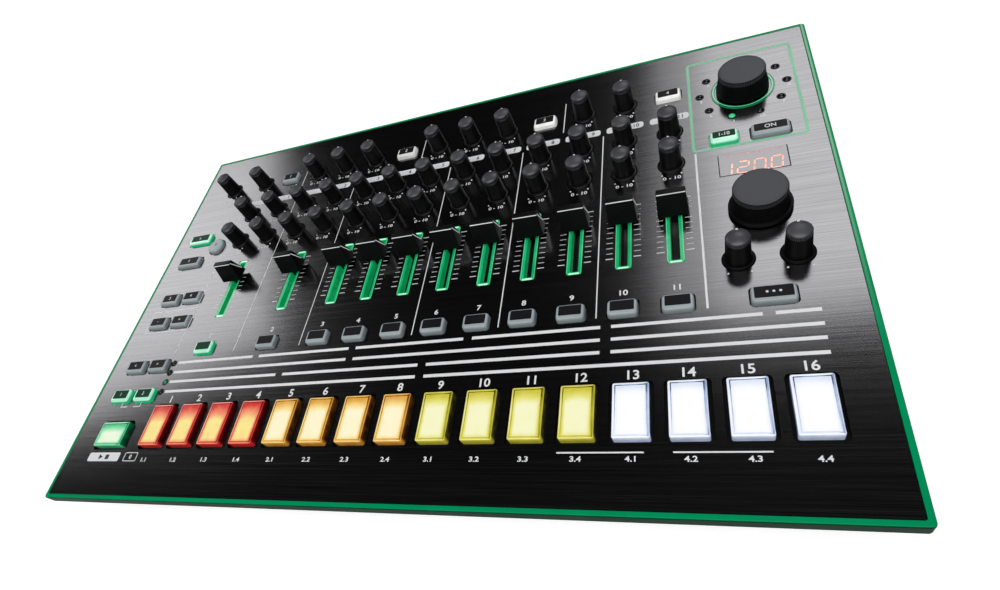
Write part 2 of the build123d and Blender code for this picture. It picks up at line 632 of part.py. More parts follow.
def socket_board():
    """Board below the sockets, which stand on it."""
    top = SOCKET_HEIGHT - JACK_BOX[2] / 2
    left = min(JACKS_X) - JACK_BOX[0] / 2 - SOCKET_BOARD_MARGIN
    right = INLET_X + INLET_BOX[0] / 2
    rear = REAR_WALL_Y - WALL - RUNNING
    board = Pos((left + right) / 2, rear - SOCKET_BOARD_DEPTH / 2) * block(
        right - left, SOCKET_BOARD_DEPTH, top - SOCKET_BOARD_THICKNESS, top)
    for x, y in PILLARS:
        board -= Pos(x, y) * disc(PILLAR_RADIUS + RUNNING, 0, SOCKET_HEIGHT)
    return board


# ---- pads, keys, knobs, dials and faders
def pad(x, y, width, length):
    """Clear cap with a flange below the panel, and the lit block inside it with its plunger."""
    flange_bottom = FLANGE_TOP - PAD_FLANGE_THICKNESS
    cap = rounded_block(width, length, PAD_CORNER, flange_bottom, PAD_RISE)
    cap = chamfer(cap.faces().sort_by(Axis.Z)[-1].edges(), PAD_CHAMFER)
    cap += block(width + 2 * PAD_FLANGE, length + 2 * PAD_FLANGE, flange_bottom, FLANGE_TOP)
    inner = (width - 2 * PAD_WALL, length - 2 * PAD_WALL)
    cap -= block(*inner, flange_bottom, PAD_RISE - PAD_ROOF)
    lit = block(*inner, flange_bottom, PAD_RISE - PAD_ROOF)
    lit += disc(KEY_STEM_RADIUS, SWITCH_TOP + PAD_TRAVEL + RUNNING, flange_bottom)
    return [PANEL * at(x, y) * piece for piece in (cap, lit)]


def key(x, y, size):
    """Rubber key with a flange below the panel and a stem above its switch."""
    flange_bottom = FLANGE_TOP - KEY_FLANGE_THICKNESS
    if size is None:
        cap = disc(ROUND_KEY_RADIUS, flange_bottom, KEY_RISE)
        flange = disc(ROUND_KEY_RADIUS + KEY_FLANGE, flange_bottom, FLANGE_TOP)
    else:
        width, length = size
        cap = rounded_block(width, length, KEY_CORNER, flange_bottom, KEY_RISE)
        reach = 2 * KEY_FLANGE
        flange = block(width + reach, length + reach, flange_bottom, FLANGE_TOP)
    cap = fillet(cap.faces().sort_by(Axis.Z)[-1].edges(), KEY_CORNER / 2)
    stem = disc(KEY_STEM_RADIUS, SWITCH_TOP + KEY_TRAVEL + RUNNING, flange_bottom)
    return PANEL * at(x, y) * (cap + flange + stem)


def shaft(top):
    return disc(SHAFT_RADIUS, -BOARD_DROP + SHAFT_END_GAP, top)


def knob(size):
    """Tapered knob with a domed top and a skirt that stands in the panel's hole."""
    height = size["height"]
    rim = height - size["dome"]
    dome_radius = (size["top"] ** 2 + size["dome"] ** 2) / (2 * size["dome"])
    cap = Pos(0, 0, rim / 2) * Cone(size["base"], size["top"], rim)
    cap += disc(size["skirt"], -KNOB_SKIRT_DROP, KNOB_SKIRT_RISE)
    cap += Pos(0, 0, height - dome_radius) * Sphere(dome_radius) & disc(size["top"], rim, height)
    cap -= disc(SHAFT_RADIUS, -KNOB_SKIRT_DROP, SHAFT_GRIP)
    return [cap, shaft(SHAFT_GRIP)]


def dial(size):
    """Large dial, flat on top, that runs just above the panel."""
    rim = size["height"] - DIAL_LIFT
    cap = Pos(0, 0, DIAL_LIFT + rim / 2) * Cone(size["base"], DIAL_TOP_RADIUS, rim)
    cap = fillet(cap.faces().sort_by(Axis.Z)[-1].edges(), DIAL_LIFT)
    if size["flange"]:
        cap += disc(size["flange"], DIAL_LIFT, DIAL_LIFT + DIAL_FLANGE_HEIGHT)
    cap -= disc(SHAFT_RADIUS, DIAL_LIFT, SHAFT_GRIP)
    return [cap, shaft(SHAFT_GRIP)]


def faders():
    """Fader caps, each on a flat stem that slides in its slot and track."""
    base = Pos(0, 0, FADER_CAP_LIFT) * Rectangle(*FADER_CAP_BASE)
    top = Pos(0, FADER_CAP_TOP_SHIFT, FADER_CAP_HEIGHT) * Rectangle(*FADER_CAP_TOP)
    cap = loft([base, top], ruled=True)
    stem = block(*FADER_STEM, -FADER_STEM_DROP, FADER_CAP_LIFT)
    return [PANEL * at(x, y) * piece for x, y in FADERS for piece in (cap, stem)]


def build():
    """Every node's solids, by the node's name."""
    nodes = {
        "top_panel": top_panel(),
        "edge_trim": edge_trim(),
        "bottom_case": bottom_case(),
        "rubber_feet": rubber_feet(),
        "case_screws": case_screws(),
        "main_board": main_board(),
        "potentiometers": rotary_controls() + fader_tracks(),
        "light_guides": light_guides(),
        "lamp_lenses": lamp_lenses(),
        "display": display(),
        "rear_sockets": rear_sockets(),
        "power_rocker": power_rocker(),
        "faders": faders(),
        "start_pad": pad(*START_PAD),
        "voice_keys": [key(*place) for place in VOICE_KEYS],
        "function_keys": [key(*place) for place in FUNCTION_KEYS],
    }
    for number, colour in enumerate(("red", "orange", "yellow", "white")):
        group = PADS[number * PADS_PER_COLOUR:(number + 1) * PADS_PER_COLOUR]
        nodes[f"{colour}_pads"] = [piece for place in group for piece in pad(*place)]
    for knobs, size in ((SMALL_KNOBS, SMALL_KNOB), (MEDIUM_KNOBS, MEDIUM_KNOB)):
        pieces = knob(size)
        for name, (x, y) in knobs.items():
            nodes[name] = [PANEL * at(x, y) * piece for piece in pieces]
    for name, (size, (x, y)) in DIALS.items():
        nodes[name] = [PANEL * at(x, y) * piece for piece in dial(size)]
    return nodes


os.makedirs("parts", exist_ok=True)
for node, pieces in build().items():
    solids = [solid for piece in pieces for solid in piece.solids()]
    export_step(solids[0] if len(solids) == 1 else Compound(solids), f"parts/{node}.step")
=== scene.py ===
"""Desktop drum machine: finishes, printing, pads, keys, knobs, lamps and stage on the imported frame.

Sizes are in millimetres in the panel's own frame: x from the plate's left edge, y from its front edge,
z out of its face. PANEL turns them into metres in the shared frame.
"""

import math

import bmesh
import bpy
from mathutils import Matrix, Vector


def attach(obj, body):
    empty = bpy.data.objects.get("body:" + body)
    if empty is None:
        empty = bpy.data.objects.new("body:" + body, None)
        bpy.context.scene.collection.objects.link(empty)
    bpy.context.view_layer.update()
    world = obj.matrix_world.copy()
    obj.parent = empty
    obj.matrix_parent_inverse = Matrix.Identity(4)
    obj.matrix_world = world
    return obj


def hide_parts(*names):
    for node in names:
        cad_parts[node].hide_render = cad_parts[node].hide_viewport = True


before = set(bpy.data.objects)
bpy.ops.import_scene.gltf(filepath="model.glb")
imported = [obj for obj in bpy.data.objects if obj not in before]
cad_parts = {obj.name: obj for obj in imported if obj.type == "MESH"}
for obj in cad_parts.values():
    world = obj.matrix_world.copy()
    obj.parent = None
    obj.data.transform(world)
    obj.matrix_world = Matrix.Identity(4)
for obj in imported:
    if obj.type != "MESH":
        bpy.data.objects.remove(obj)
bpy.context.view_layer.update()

bl_info = {
    "name": "Desktop drum machine",
    "version": (1, 0, 0),
    "blender": (4, 5, 0),
    "location": "3D View > Sidebar > Drum machine",
    "description": "Finishes, printing, pads, keys, knobs, lamps and stage of a desktop drum machine",
    "category": "Object",
}

# ---- the panel's frame
MIDDLE = (199.1, 130.0)
TILT = math.radians(4.5)
PANEL_MIDDLE_HEIGHT = 42.5
PANEL = (
    Matrix.Translation((0.0, 0.0, PANEL_MIDDLE_HEIGHT / 1000.0))
    @ Matrix.Rotation(TILT, 4, "X")
    @ Matrix.Scale(0.001, 4)
    @ Matrix.Translation((-MIDDLE[0], -MIDDLE[1], 0.0))
)

# ---- places on the panel
PAD_LEFT = 60.5
PAD_PITCH = 20.95
PAD_ROW_Y = 38.9
START_PAD_AT = (29.3, 34.2)
COLUMN_LEFT = 57.9
COLUMN_PITCH = 22.75
COLUMN_COUNT = 13
REAR_TONE_Y = 195.4
FRONT_TONE_Y = 172.0
TOP_ROW_Y = 224.5
VOLUME_X = 29.0
FADER_COLUMNS = (0.5, 2.5, 4, 5, 6, 7, 8, 9, 10, 11, 12)
FADER_SLOT = (109.8, 153.3)
FADER_REST_Y = 139.6
VOICE_KEY_Y = 87.6
STEP_KEY_COLUMNS = (1, 5, 9, 12)
PAIR_ROWS = (58.2, 77.5, 109.2, 127.4)
PAIR_COLUMNS = (20.9, 39.0)
WIDE_KEYS_AT = ((20.9, 158.5), (20.9, 178.5))
ROUND_KEY_AT = (38.8, 169.7)
DEPTH_KEY_AT = (355.8, 183.3)
ON_KEY_AT = (376.2, 183.3)
TAP_KEY_AT = (366.9, 87.5)
EFFECT_DIAL_AT = (366.9, 218.2)
TEMPO_DIAL_AT = (366.9, 135.5)
MEDIUM_KNOBS_AT = ((355.8, 107.7), (378.0, 107.7))
DISPLAY_AT = (366.9, 164.5)
ROW_LAMPS_AT = ((49.8, 60.2), (49.8, 66.4), (49.8, 72.6), (49.8, 78.8))
LAMP_CIRCLE = 20.4
DIAL_LAMPS = 10
LIT_DIAL_LAMP = 5
LIT_ROW_LAMP = 1

# ---- the rear wall, in millimetres in the shared frame
REAR_WALL_Y = 125.8
SOCKET_HEIGHT = 24.0
JACKS_X = (25.6, 1.6, -22.4, -46.4, -70.4, -94.4, -118.4)
ROUND_SOCKETS_X = (95.6, 71.6)
USB_X = 119.6
INLET_X = 138.6

# ---- keys: width, then width, depth and rearward shift of the legend patch
KEY_DEPTH = 8.4
STEP_KEY = (13.2, (10.3, 5.1, 0.6))
PAIR_KEY = (14.4, (11.0, 5.2, 0.6))
WIDE_KEY = (19.0, (15.2, 5.2, 0.6))
TAP_KEY = (17.1, (14.2, 5.4, 0.5))
DEPTH_KEY = (12.9, (10.2, 4.4, 1.1))
ON_KEY = (17.1, (14.2, 4.9, 0.9))
ROUND_KEY = (12.2, None)
KEY_GLOW = (0.0, 0.12, 0.40, 0.62, 0.80, 0.90, 0.84, 0.78)      # of a lit key, from its foot up
SILICONE, GREEN, WHITE, PATCH, GREEN_PATCH, LEGEND, LIT_GAP = range(7)

# ---- pads: tones from the painted shade of the seam to the bright centre, and the share of the length over which the rear fades
PAD_COLOURS = {
    "red": (((0.020, 0.001, 0.002), (0.26, 0.004, 0.008), (0.55, 0.030, 0.028), (0.72, 0.26, 0.13),
             (0.80, 0.66, 0.24)), 0.85),
    "orange": (((0.022, 0.007, 0.001), (0.24, 0.085, 0.008), (0.60, 0.30, 0.045), (0.78, 0.57, 0.20),
                (0.82, 0.76, 0.52)), 0.60),
    "yellow": (((0.012, 0.010, 0.002), (0.19, 0.18, 0.010), (0.49, 0.44, 0.040), (0.66, 0.62, 0.17),
                (0.76, 0.76, 0.48)), 0.60),
    "white": (((0.012, 0.024, 0.050), (0.22, 0.30, 0.48), (0.60, 0.65, 0.75), (0.76, 0.78, 0.82),
               (0.82, 0.82, 0.82)), 0.42),
    "green": (((0.002, 0.030, 0.014), (0.0, 0.20, 0.062), (0.06, 0.44, 0.20), (0.26, 0.66, 0.38),
               (0.72, 0.80, 0.62)), 0.90),
}
LIT_KEY_TONES = (
    (0.0, 0.06, 0.025), (0.0, 0.30, 0.12), (0.04, 0.50, 0.24), (0.28, 0.72, 0.47), (0.58, 0.86, 0.72)
)

# ---- knobs and dials
SMALL_KNOB = {"top": 4.65, "base": 5.2, "skirt": 6.2, "height": 14.88, "dome": 1.3}
MEDIUM_KNOB = {"top": 4.75, "base": 5.3, "skirt": 6.3, "height": 15.28, "dome": 1.4}
DIAL_TOP = 11.0
EFFECT_DIAL = {"base": 12.4, "height": 11.6, "flange": 0.0}
TEMPO_DIAL = {"base": 11.9, "height": 12.3, "flange": 13.0}

# ---- fader caps
CAP_FOOT = (6.9, 4.6)           # half width and half depth
CAP_TOP = (6.35, -1.0, 1.9)     # half width, front and rear edge
CAP_SPAN = (2.0, 14.0)          # heights of the foot and the top
CAP_FRONT_RUN = 3.15            # forward run of the front face
CAP_BEVEL = 0.32

# ---- printing
INK_FOOT = -0.1
STRIPE_ROWS = (                 # y of a row, and the ends of its stripes
    (79.1, ((53.0, 108.3), (112.5, 170.7), (175.0, 234.5), (239.0, 298.8), (303.4, 362.0), (366.6, 382.3))),
    (72.7, ((53.0, 170.7), (175.0, 298.8), (303.4, 382.3))),
    (66.5, ((53.0, 129.0), (133.3, 213.0), (217.5, 298.8), (303.4, 382.3))),
    (60.2, ((53.0, 213.0), (217.5, 382.3))),
)
DIVIDERS = (                    # column, front end and rear end
    (-0.5, 84.0, 203.0), (1.5, 84.0, 203.0), (3.5, 84.0, 203.0), (6.5, 84.0, 203.0), (8.5, 84.0, 203.0),
    (10.5, 84.0, 203.0), (12.5, 84.0, 176.0), (1.5, 213.0, 229.0), (5.5, 213.0, 234.0), (9.5, 213.0, 238.5),
)
BEAT_LINES = ((283.5, 316.5, 22.0, 22.6), (326.8, 359.5, 22.0, 22.6))
BRACKET = (
    (23.0, 28.0, 51.4, 51.9), (33.0, 38.0, 51.4, 51.9), (22.8, 23.3, 51.4, 54.0), (37.8, 38.3, 51.4, 54.0)
)
NAME_BAR_Y = 206.6
NAME_BARS = ((0.5, 38.0), (2.5, 38.0)) + tuple((k, 19.5) for k in range(4, 13))    # column and width
START_BAR_AT = (29.3, 21.4)
ZERO_FRAME_AT = (49.8, 21.4)
STEP_FIGURE_Y = 55.1
BEAT_FIGURE_Y = 19.8
VOICE_FIGURE_Y = 96.4
SCALE_DROP = 9.6                # from a knob's middle to the figures of its scale
SCALE_COLUMNS = (0, 2, 3, 4, 6, 7, 8, 10, 11)
TICKS_AWAY = 6.3
TICKS_FRONT_Y = 116.3
SCALE_DOT = (4.5, -7.2)

# ---- display, from its middle
DIGIT_HEIGHT = 7.4
DIGIT_PITCH = 7.1
DIGIT_LEAN = 0.12
SEGMENT = 0.72
SEGMENTS = {"0": "abcdef", "1": "bc", "2": "abged"}
WINDOW_GAPS = ((-14.95, -14.55, -7.1, 7.1), (14.50, 14.95, -7.1, 7.1), (-14.95, 14.95, -7.1, -6.7))

# ---- camera, in the panel's frame
CAMERA_AT = (346.74, -66.06, 215.26)
CAMERA_RIGHT = (0.92193, 0.14226, -0.36030)
CAMERA_DOWN = (-0.08572, -0.83214, -0.54790)
CAMERA_AHEAD = (-0.37776, 0.53601, -0.75498)
CAMERA_SHIFT = (0.0256, 0.0295)


def column_x(k):
    """Middle of a column of knobs."""
    return COLUMN_LEFT + COLUMN_PITCH * k


def pad_x(i):
    """Middle of a step pad, counted from 0."""
    return PAD_LEFT + PAD_PITCH * i


def dial_lamp_at(i):
    """Middle of a lamp round the effect dial, counted clockwise from the rear."""
    turn = math.radians(36.0 * i + 18.0)
    x, y = EFFECT_DIAL_AT
    return x + LAMP_CIRCLE * math.sin(turn), y + LAMP_CIRCLE * math.cos(turn)


# ---- properties


def length(name, millimetres, description):
    """A length property, kept in metres."""
    return bpy.props.FloatProperty(
        name=name,
        description=description,
        default=millimetres / 1000.0,
        min=0.0,
        subtype="DISTANCE",
        unit="LENGTH",
        precision=4,
    )


def colour(name, rgb, description):
    """A linear colour property."""
    return bpy.props.FloatVectorProperty(
        name=name, description=description, default=rgb, min=0.0, max=1.0, size=3, subtype="COLOR"
    )


def share(name, value, description, high):
    """A plain number from zero up."""
    return bpy.props.FloatProperty(name=name, description=description, default=value, min=0.0, max=high)


def whole(name, value, description, low):
    """A whole number."""
    return bpy.props.IntProperty(name=name, description=description, default=value, min=low)


def group(kind, name, description):
    """A group of properties."""
    return bpy.props.PointerProperty(type=kind, name=name, description=description)


class DrumColours(bpy.types.PropertyGroup):
    """Colours of the finishes."""

    panel: colour("Panel", (0.202, 0.200, 0.207), "Brushed top plate")
    trim: colour("Trim", (0.0, 0.350, 0.130), "Painted band round the panel")
    case: colour("Case", (0.011, 0.011, 0.012), "Moulded lower case")
    printing: colour("Printing", (0.93, 0.94, 0.96), "Lines, bars and figures")
    outline: colour("Section outline", (0.30, 0.72, 0.46), "Line round the effect section")
    knob: colour("Knob", (0.0036, 0.0034, 0.0042), "Sides of the knobs and dials")
    # the tops are a lighter grey than the sides: painted sheen, standing in for the light they catch
    knob_top_painted_sheen: colour("Knob top", (0.066, 0.067, 0.076), "Domed tops of the knobs")
    key: colour("Key", (0.41, 0.47, 0.49), "Silicone of the small keys")
    green_glow: colour("Green light", (0.0, 0.42, 0.13), "Light guides, ring and lit lamps")
    digits: colour("Digits", (1.0, 0.26, 0.15), "Figures of the display")


class DrumControls(bpy.types.PropertyGroup):
    """Sizes of the controls, as in the part's source."""

    pad_width: length("Pad width", 14.2, "Across a step pad")
    pad_length: length("Pad length", 23.4, "Front to rear of a step pad")
    pad_rise: length("Pad rise", 2.2, "Height of a pad above the panel")
    start_width: length("Start pad width", 20.8, "Across the start pad")
    start_length: length("Start pad length", 13.9, "Front to rear of the start pad")
    key_rise: length("Key rise", 2.2, "Height of a key above the panel")
    knob_ribs: whole("Knob ribs", 44, "Ribs round a knob's rim", 8)
    dial_ribs: whole("Dial ribs", 90, "Ribs round a dial's rim", 8)
    rib_depth: length("Rib depth", 0.16, "How far a rib stands out of the rim")
    tick_count: whole("Fader ticks", 11, "Ticks beside a slot", 2)
    tick_pitch: length("Tick pitch", 3.2, "Between two ticks beside a fader")


class DrumPrinting(bpy.types.PropertyGroup):
    """Sizes of the printing on the panel."""

    thickness: length("Ink thickness", 0.05, "Height of the printing above the panel")
    stripe: length("Stripe", 1.6, "Width of the long stripes over the pads")
    divider: length("Divider", 1.0, "Width of the lines between sections")
    figure: length("Step figures", 4.2, "Height of the figures over the pads")
    small_figure: length("Small figures", 2.4, "Height of the figures beside keys and knobs")


class DrumStage(bpy.types.PropertyGroup):
    """Floor, light and camera."""

    floor: colour("Floor", (0.60, 0.60, 0.60), "Plain pale floor")
    key_light: share("Key light", 3.8, "Radiance of the soft light over the front", 20.0)
    side_light: share("Side lights", 2.45, "Radiance of the soft lights behind", 20.0)
    room: share("Room light", 0.01, "Level of the world", 2.0)
    lens: bpy.props.FloatProperty(
        name="Lens", description="Focal length", default=21.68, min=1.0, subtype="DISTANCE_CAMERA"
    )


class DrumMachine(bpy.types.PropertyGroup):
    """Everything that a user would change."""

    colours: group(DrumColours, "Colours", "Colours of the finishes")
    controls: group(DrumControls, "Controls", "Sizes of the controls")
    printing: group(DrumPrinting, "Printing", "Sizes of the printing")
    stage: group(DrumStage, "Stage", "Floor, light and camera")


def settings():
    """The add-on's properties of this scene."""
    return bpy.context.scene.drum_machine


def mm(value):
    """A property's metres in millimetres."""
    return value * 1000.0


# ---- nodes


def fill(tree, node, sockets):
    """Sets a node's sockets, by name or number: another node's output is linked, a plain value stored."""
    for name, value in sockets.items():
        if isinstance(value, bpy.types.NodeSocket):
            tree.links.new(value, node.inputs[name])
        else:
            node.inputs[name].default_value = value


def add_node(tree, kind, sockets=None, **attributes):
    """A new node with its attributes and sockets set."""
    node = tree.nodes.new(kind)
    for name, value in attributes.items():
        setattr(node, name, value)
    fill(tree, node, sockets or {})
    return node


def maths(tree, operation, *values):
    """The result of a math node over numbers or sockets."""
    return add_node(tree, "ShaderNodeMath", dict(enumerate(values)), operation=operation).outputs["Value"]


def object_pattern(tree, scale=(1.0, 1.0, 1.0), turn=0.0):
    """Object coordinates through a mapping, so that a pattern keeps its place on the piece."""
    place = add_node(tree, "ShaderNodeTexCoord").outputs["Object"]
    sockets = {"Vector": place, "Rotation": (turn, 0.0, 0.0), "Scale": scale}
    return add_node(tree, "ShaderNodeMapping", sockets).outputs["Vector"]


def noise(tree, vector, scale, detail=3.0, roughness=0.5):
    """Fractal noise on a vector."""
    sockets = {"Vector": vector, "Scale": scale, "Detail": detail, "Roughness": roughness}
    return add_node(tree, "ShaderNodeTexNoise", sockets).outputs["Fac"]


def spread(tree, value, low, high, from_low=0.3, from_high=0.7):
    """A value mapped to a range."""
    sockets = {"Value": value, "From Min": from_low, "From Max": from_high, "To Min": low, "To Max": high}
    return add_node(tree, "ShaderNodeMapRange", sockets).outputs["Result"]


def colour_ramp(tree, value, *tones, places=()):
    """A ramp from the first tone to the last, with the tones between them at the given places."""
    ramp = add_node(tree, "ShaderNodeValToRGB", {"Fac": value})
    stops = ramp.color_ramp.elements
    stops[0].color = (*tones[0], 1.0)
    stops[1].color = (*tones[-1], 1.0)
    for place, rgb in zip(places, tones[1:-1]):
        stops.new(place).color = (*rgb, 1.0)
    return ramp.outputs["Color"]


def raise_grain(tree, shader, value, depth, strength=1.0):
    """Bump on the shader from a value, with its depth in metres."""
    bump = add_node(tree, "ShaderNodeBump", {"Strength": strength, "Distance": depth, "Height": value})
    fill(tree, shader, {"Normal": bump.outputs["Normal"]})


def shaded(rgb, factor):
    """A colour made darker or lighter."""
    return tuple(min(1.0, c * factor) for c in rgb)


# ---- finishes


def new_finish(name):
    """A node material, its tree and its shader."""
    finish = bpy.data.materials.new(name)
    finish.use_nodes = True
    tree = finish.node_tree
    return finish, tree, tree.nodes["Principled BSDF"]


def moulded(
    name, rgb, roughness=0.45, grain=1500.0, depth=0.00003, vary=0.15, coat=0.0, metal=0.0, shine=0.5
):
    """Moulded plastic, rubber or paint: fine grain, slow mottling, uneven gloss."""
    finish, tree, shader = new_finish(name)
    place = object_pattern(tree)
    slow = noise(tree, place, 35.0, 4.0, 0.55)
    mottling = spread(tree, slow, 0.0, 1.0)
    fill(tree, shader, {
        "Base Color": colour_ramp(tree, mottling, shaded(rgb, 1.0 - vary), shaded(rgb, 1.0 + vary)),
        "Roughness": spread(tree, slow, roughness * 0.88, roughness * 1.12),
        "Metallic": metal,
        "Specular IOR Level": shine,
        "Coat Weight": coat,
        "Coat Roughness": 0.08,
    })
    raise_grain(tree, shader, noise(tree, place, grain, 2.0), depth)
    return finish


def brushed_plate(name, rgb):
    """Dark anodised metal, brushed from side to side."""
    finish, tree, shader = new_finish(name)
    long_lines = noise(tree, object_pattern(tree, (7.0, 1700.0, 1700.0), -TILT), 1.0, 3.0, 0.6)
    fine_lines = noise(tree, object_pattern(tree, (30.0, 5200.0, 5200.0), -TILT), 1.0, 2.0, 0.7)
    lines = maths(tree, "ADD", long_lines, fine_lines)
    streaks = spread(tree, lines, 0.0, 1.0, 0.7, 1.3)
    fill(tree, shader, {
        "Base Color": colour_ramp(tree, streaks, shaded(rgb, 0.74), shaded(rgb, 1.26)),
        "Roughness": spread(tree, lines, 0.135, 0.20, 0.7, 1.3),
        "Metallic": 1.0,
    })
    raise_grain(tree, shader, lines, 0.00002, 0.15)
    return finish


def band_with_painted_light(name, rgb, front):
    """Satin paint with painted light: painted shade on the faces turned to the front, and a painted highlight
    along the right rail's inner edge, fading towards the front.
    """
    finish, tree, shader = new_finish(name)
    slow = noise(tree, object_pattern(tree), 60.0, 4.0, 0.55)
    place = add_node(tree, "ShaderNodeTexCoord")
    facing = add_node(tree, "ShaderNodeSeparateXYZ", {0: place.outputs["Normal"]}).outputs
    spot = add_node(tree, "ShaderNodeSeparateXYZ", {0: place.outputs["Object"]}).outputs
    # painted shade: faces turned to the front take the darker front colour
    front_shade_mask = spread(tree, facing["Y"], 0.0, 1.0, -0.92, -0.55)
    paint = colour_ramp(tree, maths(tree, "SUBTRACT", front_shade_mask, spread(tree, slow, 0.0, 0.14)), front, rgb)
    # painted highlight: a pale stripe on the inner edge of the right rail, fading towards the front
    inner = spread(tree, spot["X"], 1.0, 0.0, 0.20035, 0.20075)
    outer = spread(tree, spot["X"], 0.0, 1.0, 0.19955, 0.19985)
    rear = spread(tree, spot["Y"], 0.0, 0.75, -0.060, 0.050)
    painted_highlight_mask = maths(tree, "MULTIPLY", maths(tree, "MULTIPLY", inner, outer), rear)
    painted_highlight_colour = (0.42, 0.72, 0.50, 1.0)
    mix = add_node(tree, "ShaderNodeMix", {"Factor": painted_highlight_mask, 6: paint, 7: painted_highlight_colour}, data_type="RGBA")
    fill(tree, shader, {
        "Base Color": mix.outputs[2],
        "Roughness": spread(tree, slow, 0.2816, 0.3584),
        "Specular IOR Level": 0.06,
    })
    return finish


def light_up(tree, shader, tint, strength, roughness, coat, coat_roughness):
    """Colour, glow and clear coat of lit plastic, and of the painted highlights and shade drawn with it."""
    fill(tree, shader, {
        "Base Color": tint,
        "Emission Color": tint,
        "Emission Strength": strength,
        "Roughness": roughness,
        "Coat Weight": coat,
        "Coat Roughness": coat_roughness,
    })


def glowing(name, rgb, strength, centre=None):
    """Lit plastic, and highlights painted as glow: a soft mottled glow under a glossy face."""
    finish, tree, shader = new_finish(name)
    slow = noise(tree, object_pattern(tree), 90.0, 2.0)
    mottling = spread(tree, slow, 0.0, 1.0)
    tint = colour_ramp(tree, mottling, shaded(rgb, 0.85), centre or shaded(rgb, 1.15))
    light_up(tree, shader, tint, strength, spread(tree, slow, 0.20, 0.30), 0.5, 0.05)
    return finish


def lit_cap(name, tones, strength):
    """Clear cap over a lit block: its glow attribute, which carries painted highlights and shade as well as
    the glow, runs through the tones, from the painted shade of the seam to the bright centre.
    """
    finish, tree, shader = new_finish(name)
    glow_and_painted_light = add_node(tree, "ShaderNodeAttribute", attribute_name="glow_and_painted_light").outputs["Fac"]
    slow = noise(tree, object_pattern(tree), 240.0, 3.0)
    uneven = maths(tree, "MULTIPLY_ADD", spread(tree, slow, -1.0, 1.0), 0.04, glow_and_painted_light)
    tint = colour_ramp(tree, uneven, *tones, places=(0.18, 0.42, 0.70))
    light_up(tree, shader, tint, strength, spread(tree, slow, 0.16, 0.26), 1.0, 0.03)
    return finish


# ---- shapes


def rounded_outline(x, y, width, depth, radius, steps=5, along=(0, 0)):
    """Points of a rounded rectangle, anticlockwise; along adds points on the sides across and along it."""
    radius = max(min(radius, width / 2.0 - 0.01, depth / 2.0 - 0.01), 0.01)
    points = []
    for cx, cy, start in (
        (x + width / 2 - radius, y + depth / 2 - radius, 0.0),
        (x - width / 2 + radius, y + depth / 2 - radius, 90.0),
        (x - width / 2 + radius, y - depth / 2 + radius, 180.0),
        (x + width / 2 - radius, y - depth / 2 + radius, 270.0),
    ):
        corner = []
        for i in range(steps + 1):
            turn = math.radians(start + 90.0 * i / steps)
            corner.append((cx + radius * math.cos(turn), cy + radius * math.sin(turn)))
        if points:
            add_between(points, corner[0], along)
        points += corner
    add_between(points, points[0], along)
    return points


def add_between(points, end, along):
    """Adds evenly spaced points from the last one towards the next corner."""
    start = points[-1]
    count = along[0] if abs(end[0] - start[0]) > abs(end[1] - start[1]) else along[1]
    for i in range(1, count + 1):
        part = i / (count + 1)
        points.append((start[0] + (end[0] - start[0]) * part, start[1] + (end[1] - start[1]) * part))


def circle_outline(x, y, radius, steps=32):
    """Points of a circle, anticlockwise."""
    turns = [2 * math.pi * i / steps for i in range(steps)]
    return [(x + radius * math.cos(turn), y + radius * math.sin(turn)) for turn in turns]


def glow_mesh():
    """An empty mesh with an attribute for glow and painted light."""
    mesh = bmesh.new()
    mesh.verts.layers.float.new("glow_and_painted_light")
    return mesh


def add_rings(mesh, rings, material=0, close_low=False, close_high=True, glow_and_painted_light=None):
    """Joins outlines of equal point count, each (points, z), from the lowest up; material may be by band."""
    layer = mesh.verts.layers.float.get("glow_and_painted_light") if glow_and_painted_light else None
    bands = material if isinstance(material, (list, tuple)) else [material] * (len(rings) - 1)
    loops = []
    for number, (points, z) in enumerate(rings):
        loop = [mesh.verts.new((px, py, z)) for px, py in points]
        if layer is not None:
            for vert in loop:
                vert[layer] = glow_and_painted_light[number]
        loops.append(loop)
    count = len(loops[0])
    for band, low, high in zip(bands, loops, loops[1:]):
        for i in range(count):
            j = (i + 1) % count
            mesh.faces.new((low[i], low[j], high[j], high[i])).material_index = band
    if close_high:
        mesh.faces.new(loops[-1]).material_index = bands[-1]
    if close_low:
        mesh.faces.new(list(reversed(loops[0]))).material_index = bands[0]
    return loops


def add_slab(mesh, points, low, high, material=0):
    """A flat plate with a closed outline."""
    add_rings(mesh, [(points, low), (points, high)], material, close_low=True)


def add_bar(mesh, x0, x1, y0, y1, low, high, material=0):
    """A square-cornered plate."""
    add_slab(mesh, [(x0, y0), (x1, y0), (x1, y1), (x0, y1)], low, high, material)


def add_hoop(mesh, outer, inner, low, high, material=0):
    """A flat closed band between two outlines of equal point count."""
    rows = []
    for points, z in ((outer, low), (outer, high), (inner, high), (inner, low)):
        rows.append([mesh.verts.new((px, py, z)) for px, py in points])
    count = len(outer)
    for a, b in zip(rows, rows[1:] + rows[:1]):
        for i in range(count):
            j = (i + 1) % count
            mesh.faces.new((a[i], a[j], b[j], b[i])).material_index = material


def add_lathe(mesh, x, y, profile, material=0, steps=48):
    """A turned solid: profile is (radius, z) from its underside round to the middle of its top."""
    rings = [(circle_outline(x, y, max(radius, 0.001), steps), z) for radius, z in profile]
    add_rings(mesh, rings, material, close_low=True)


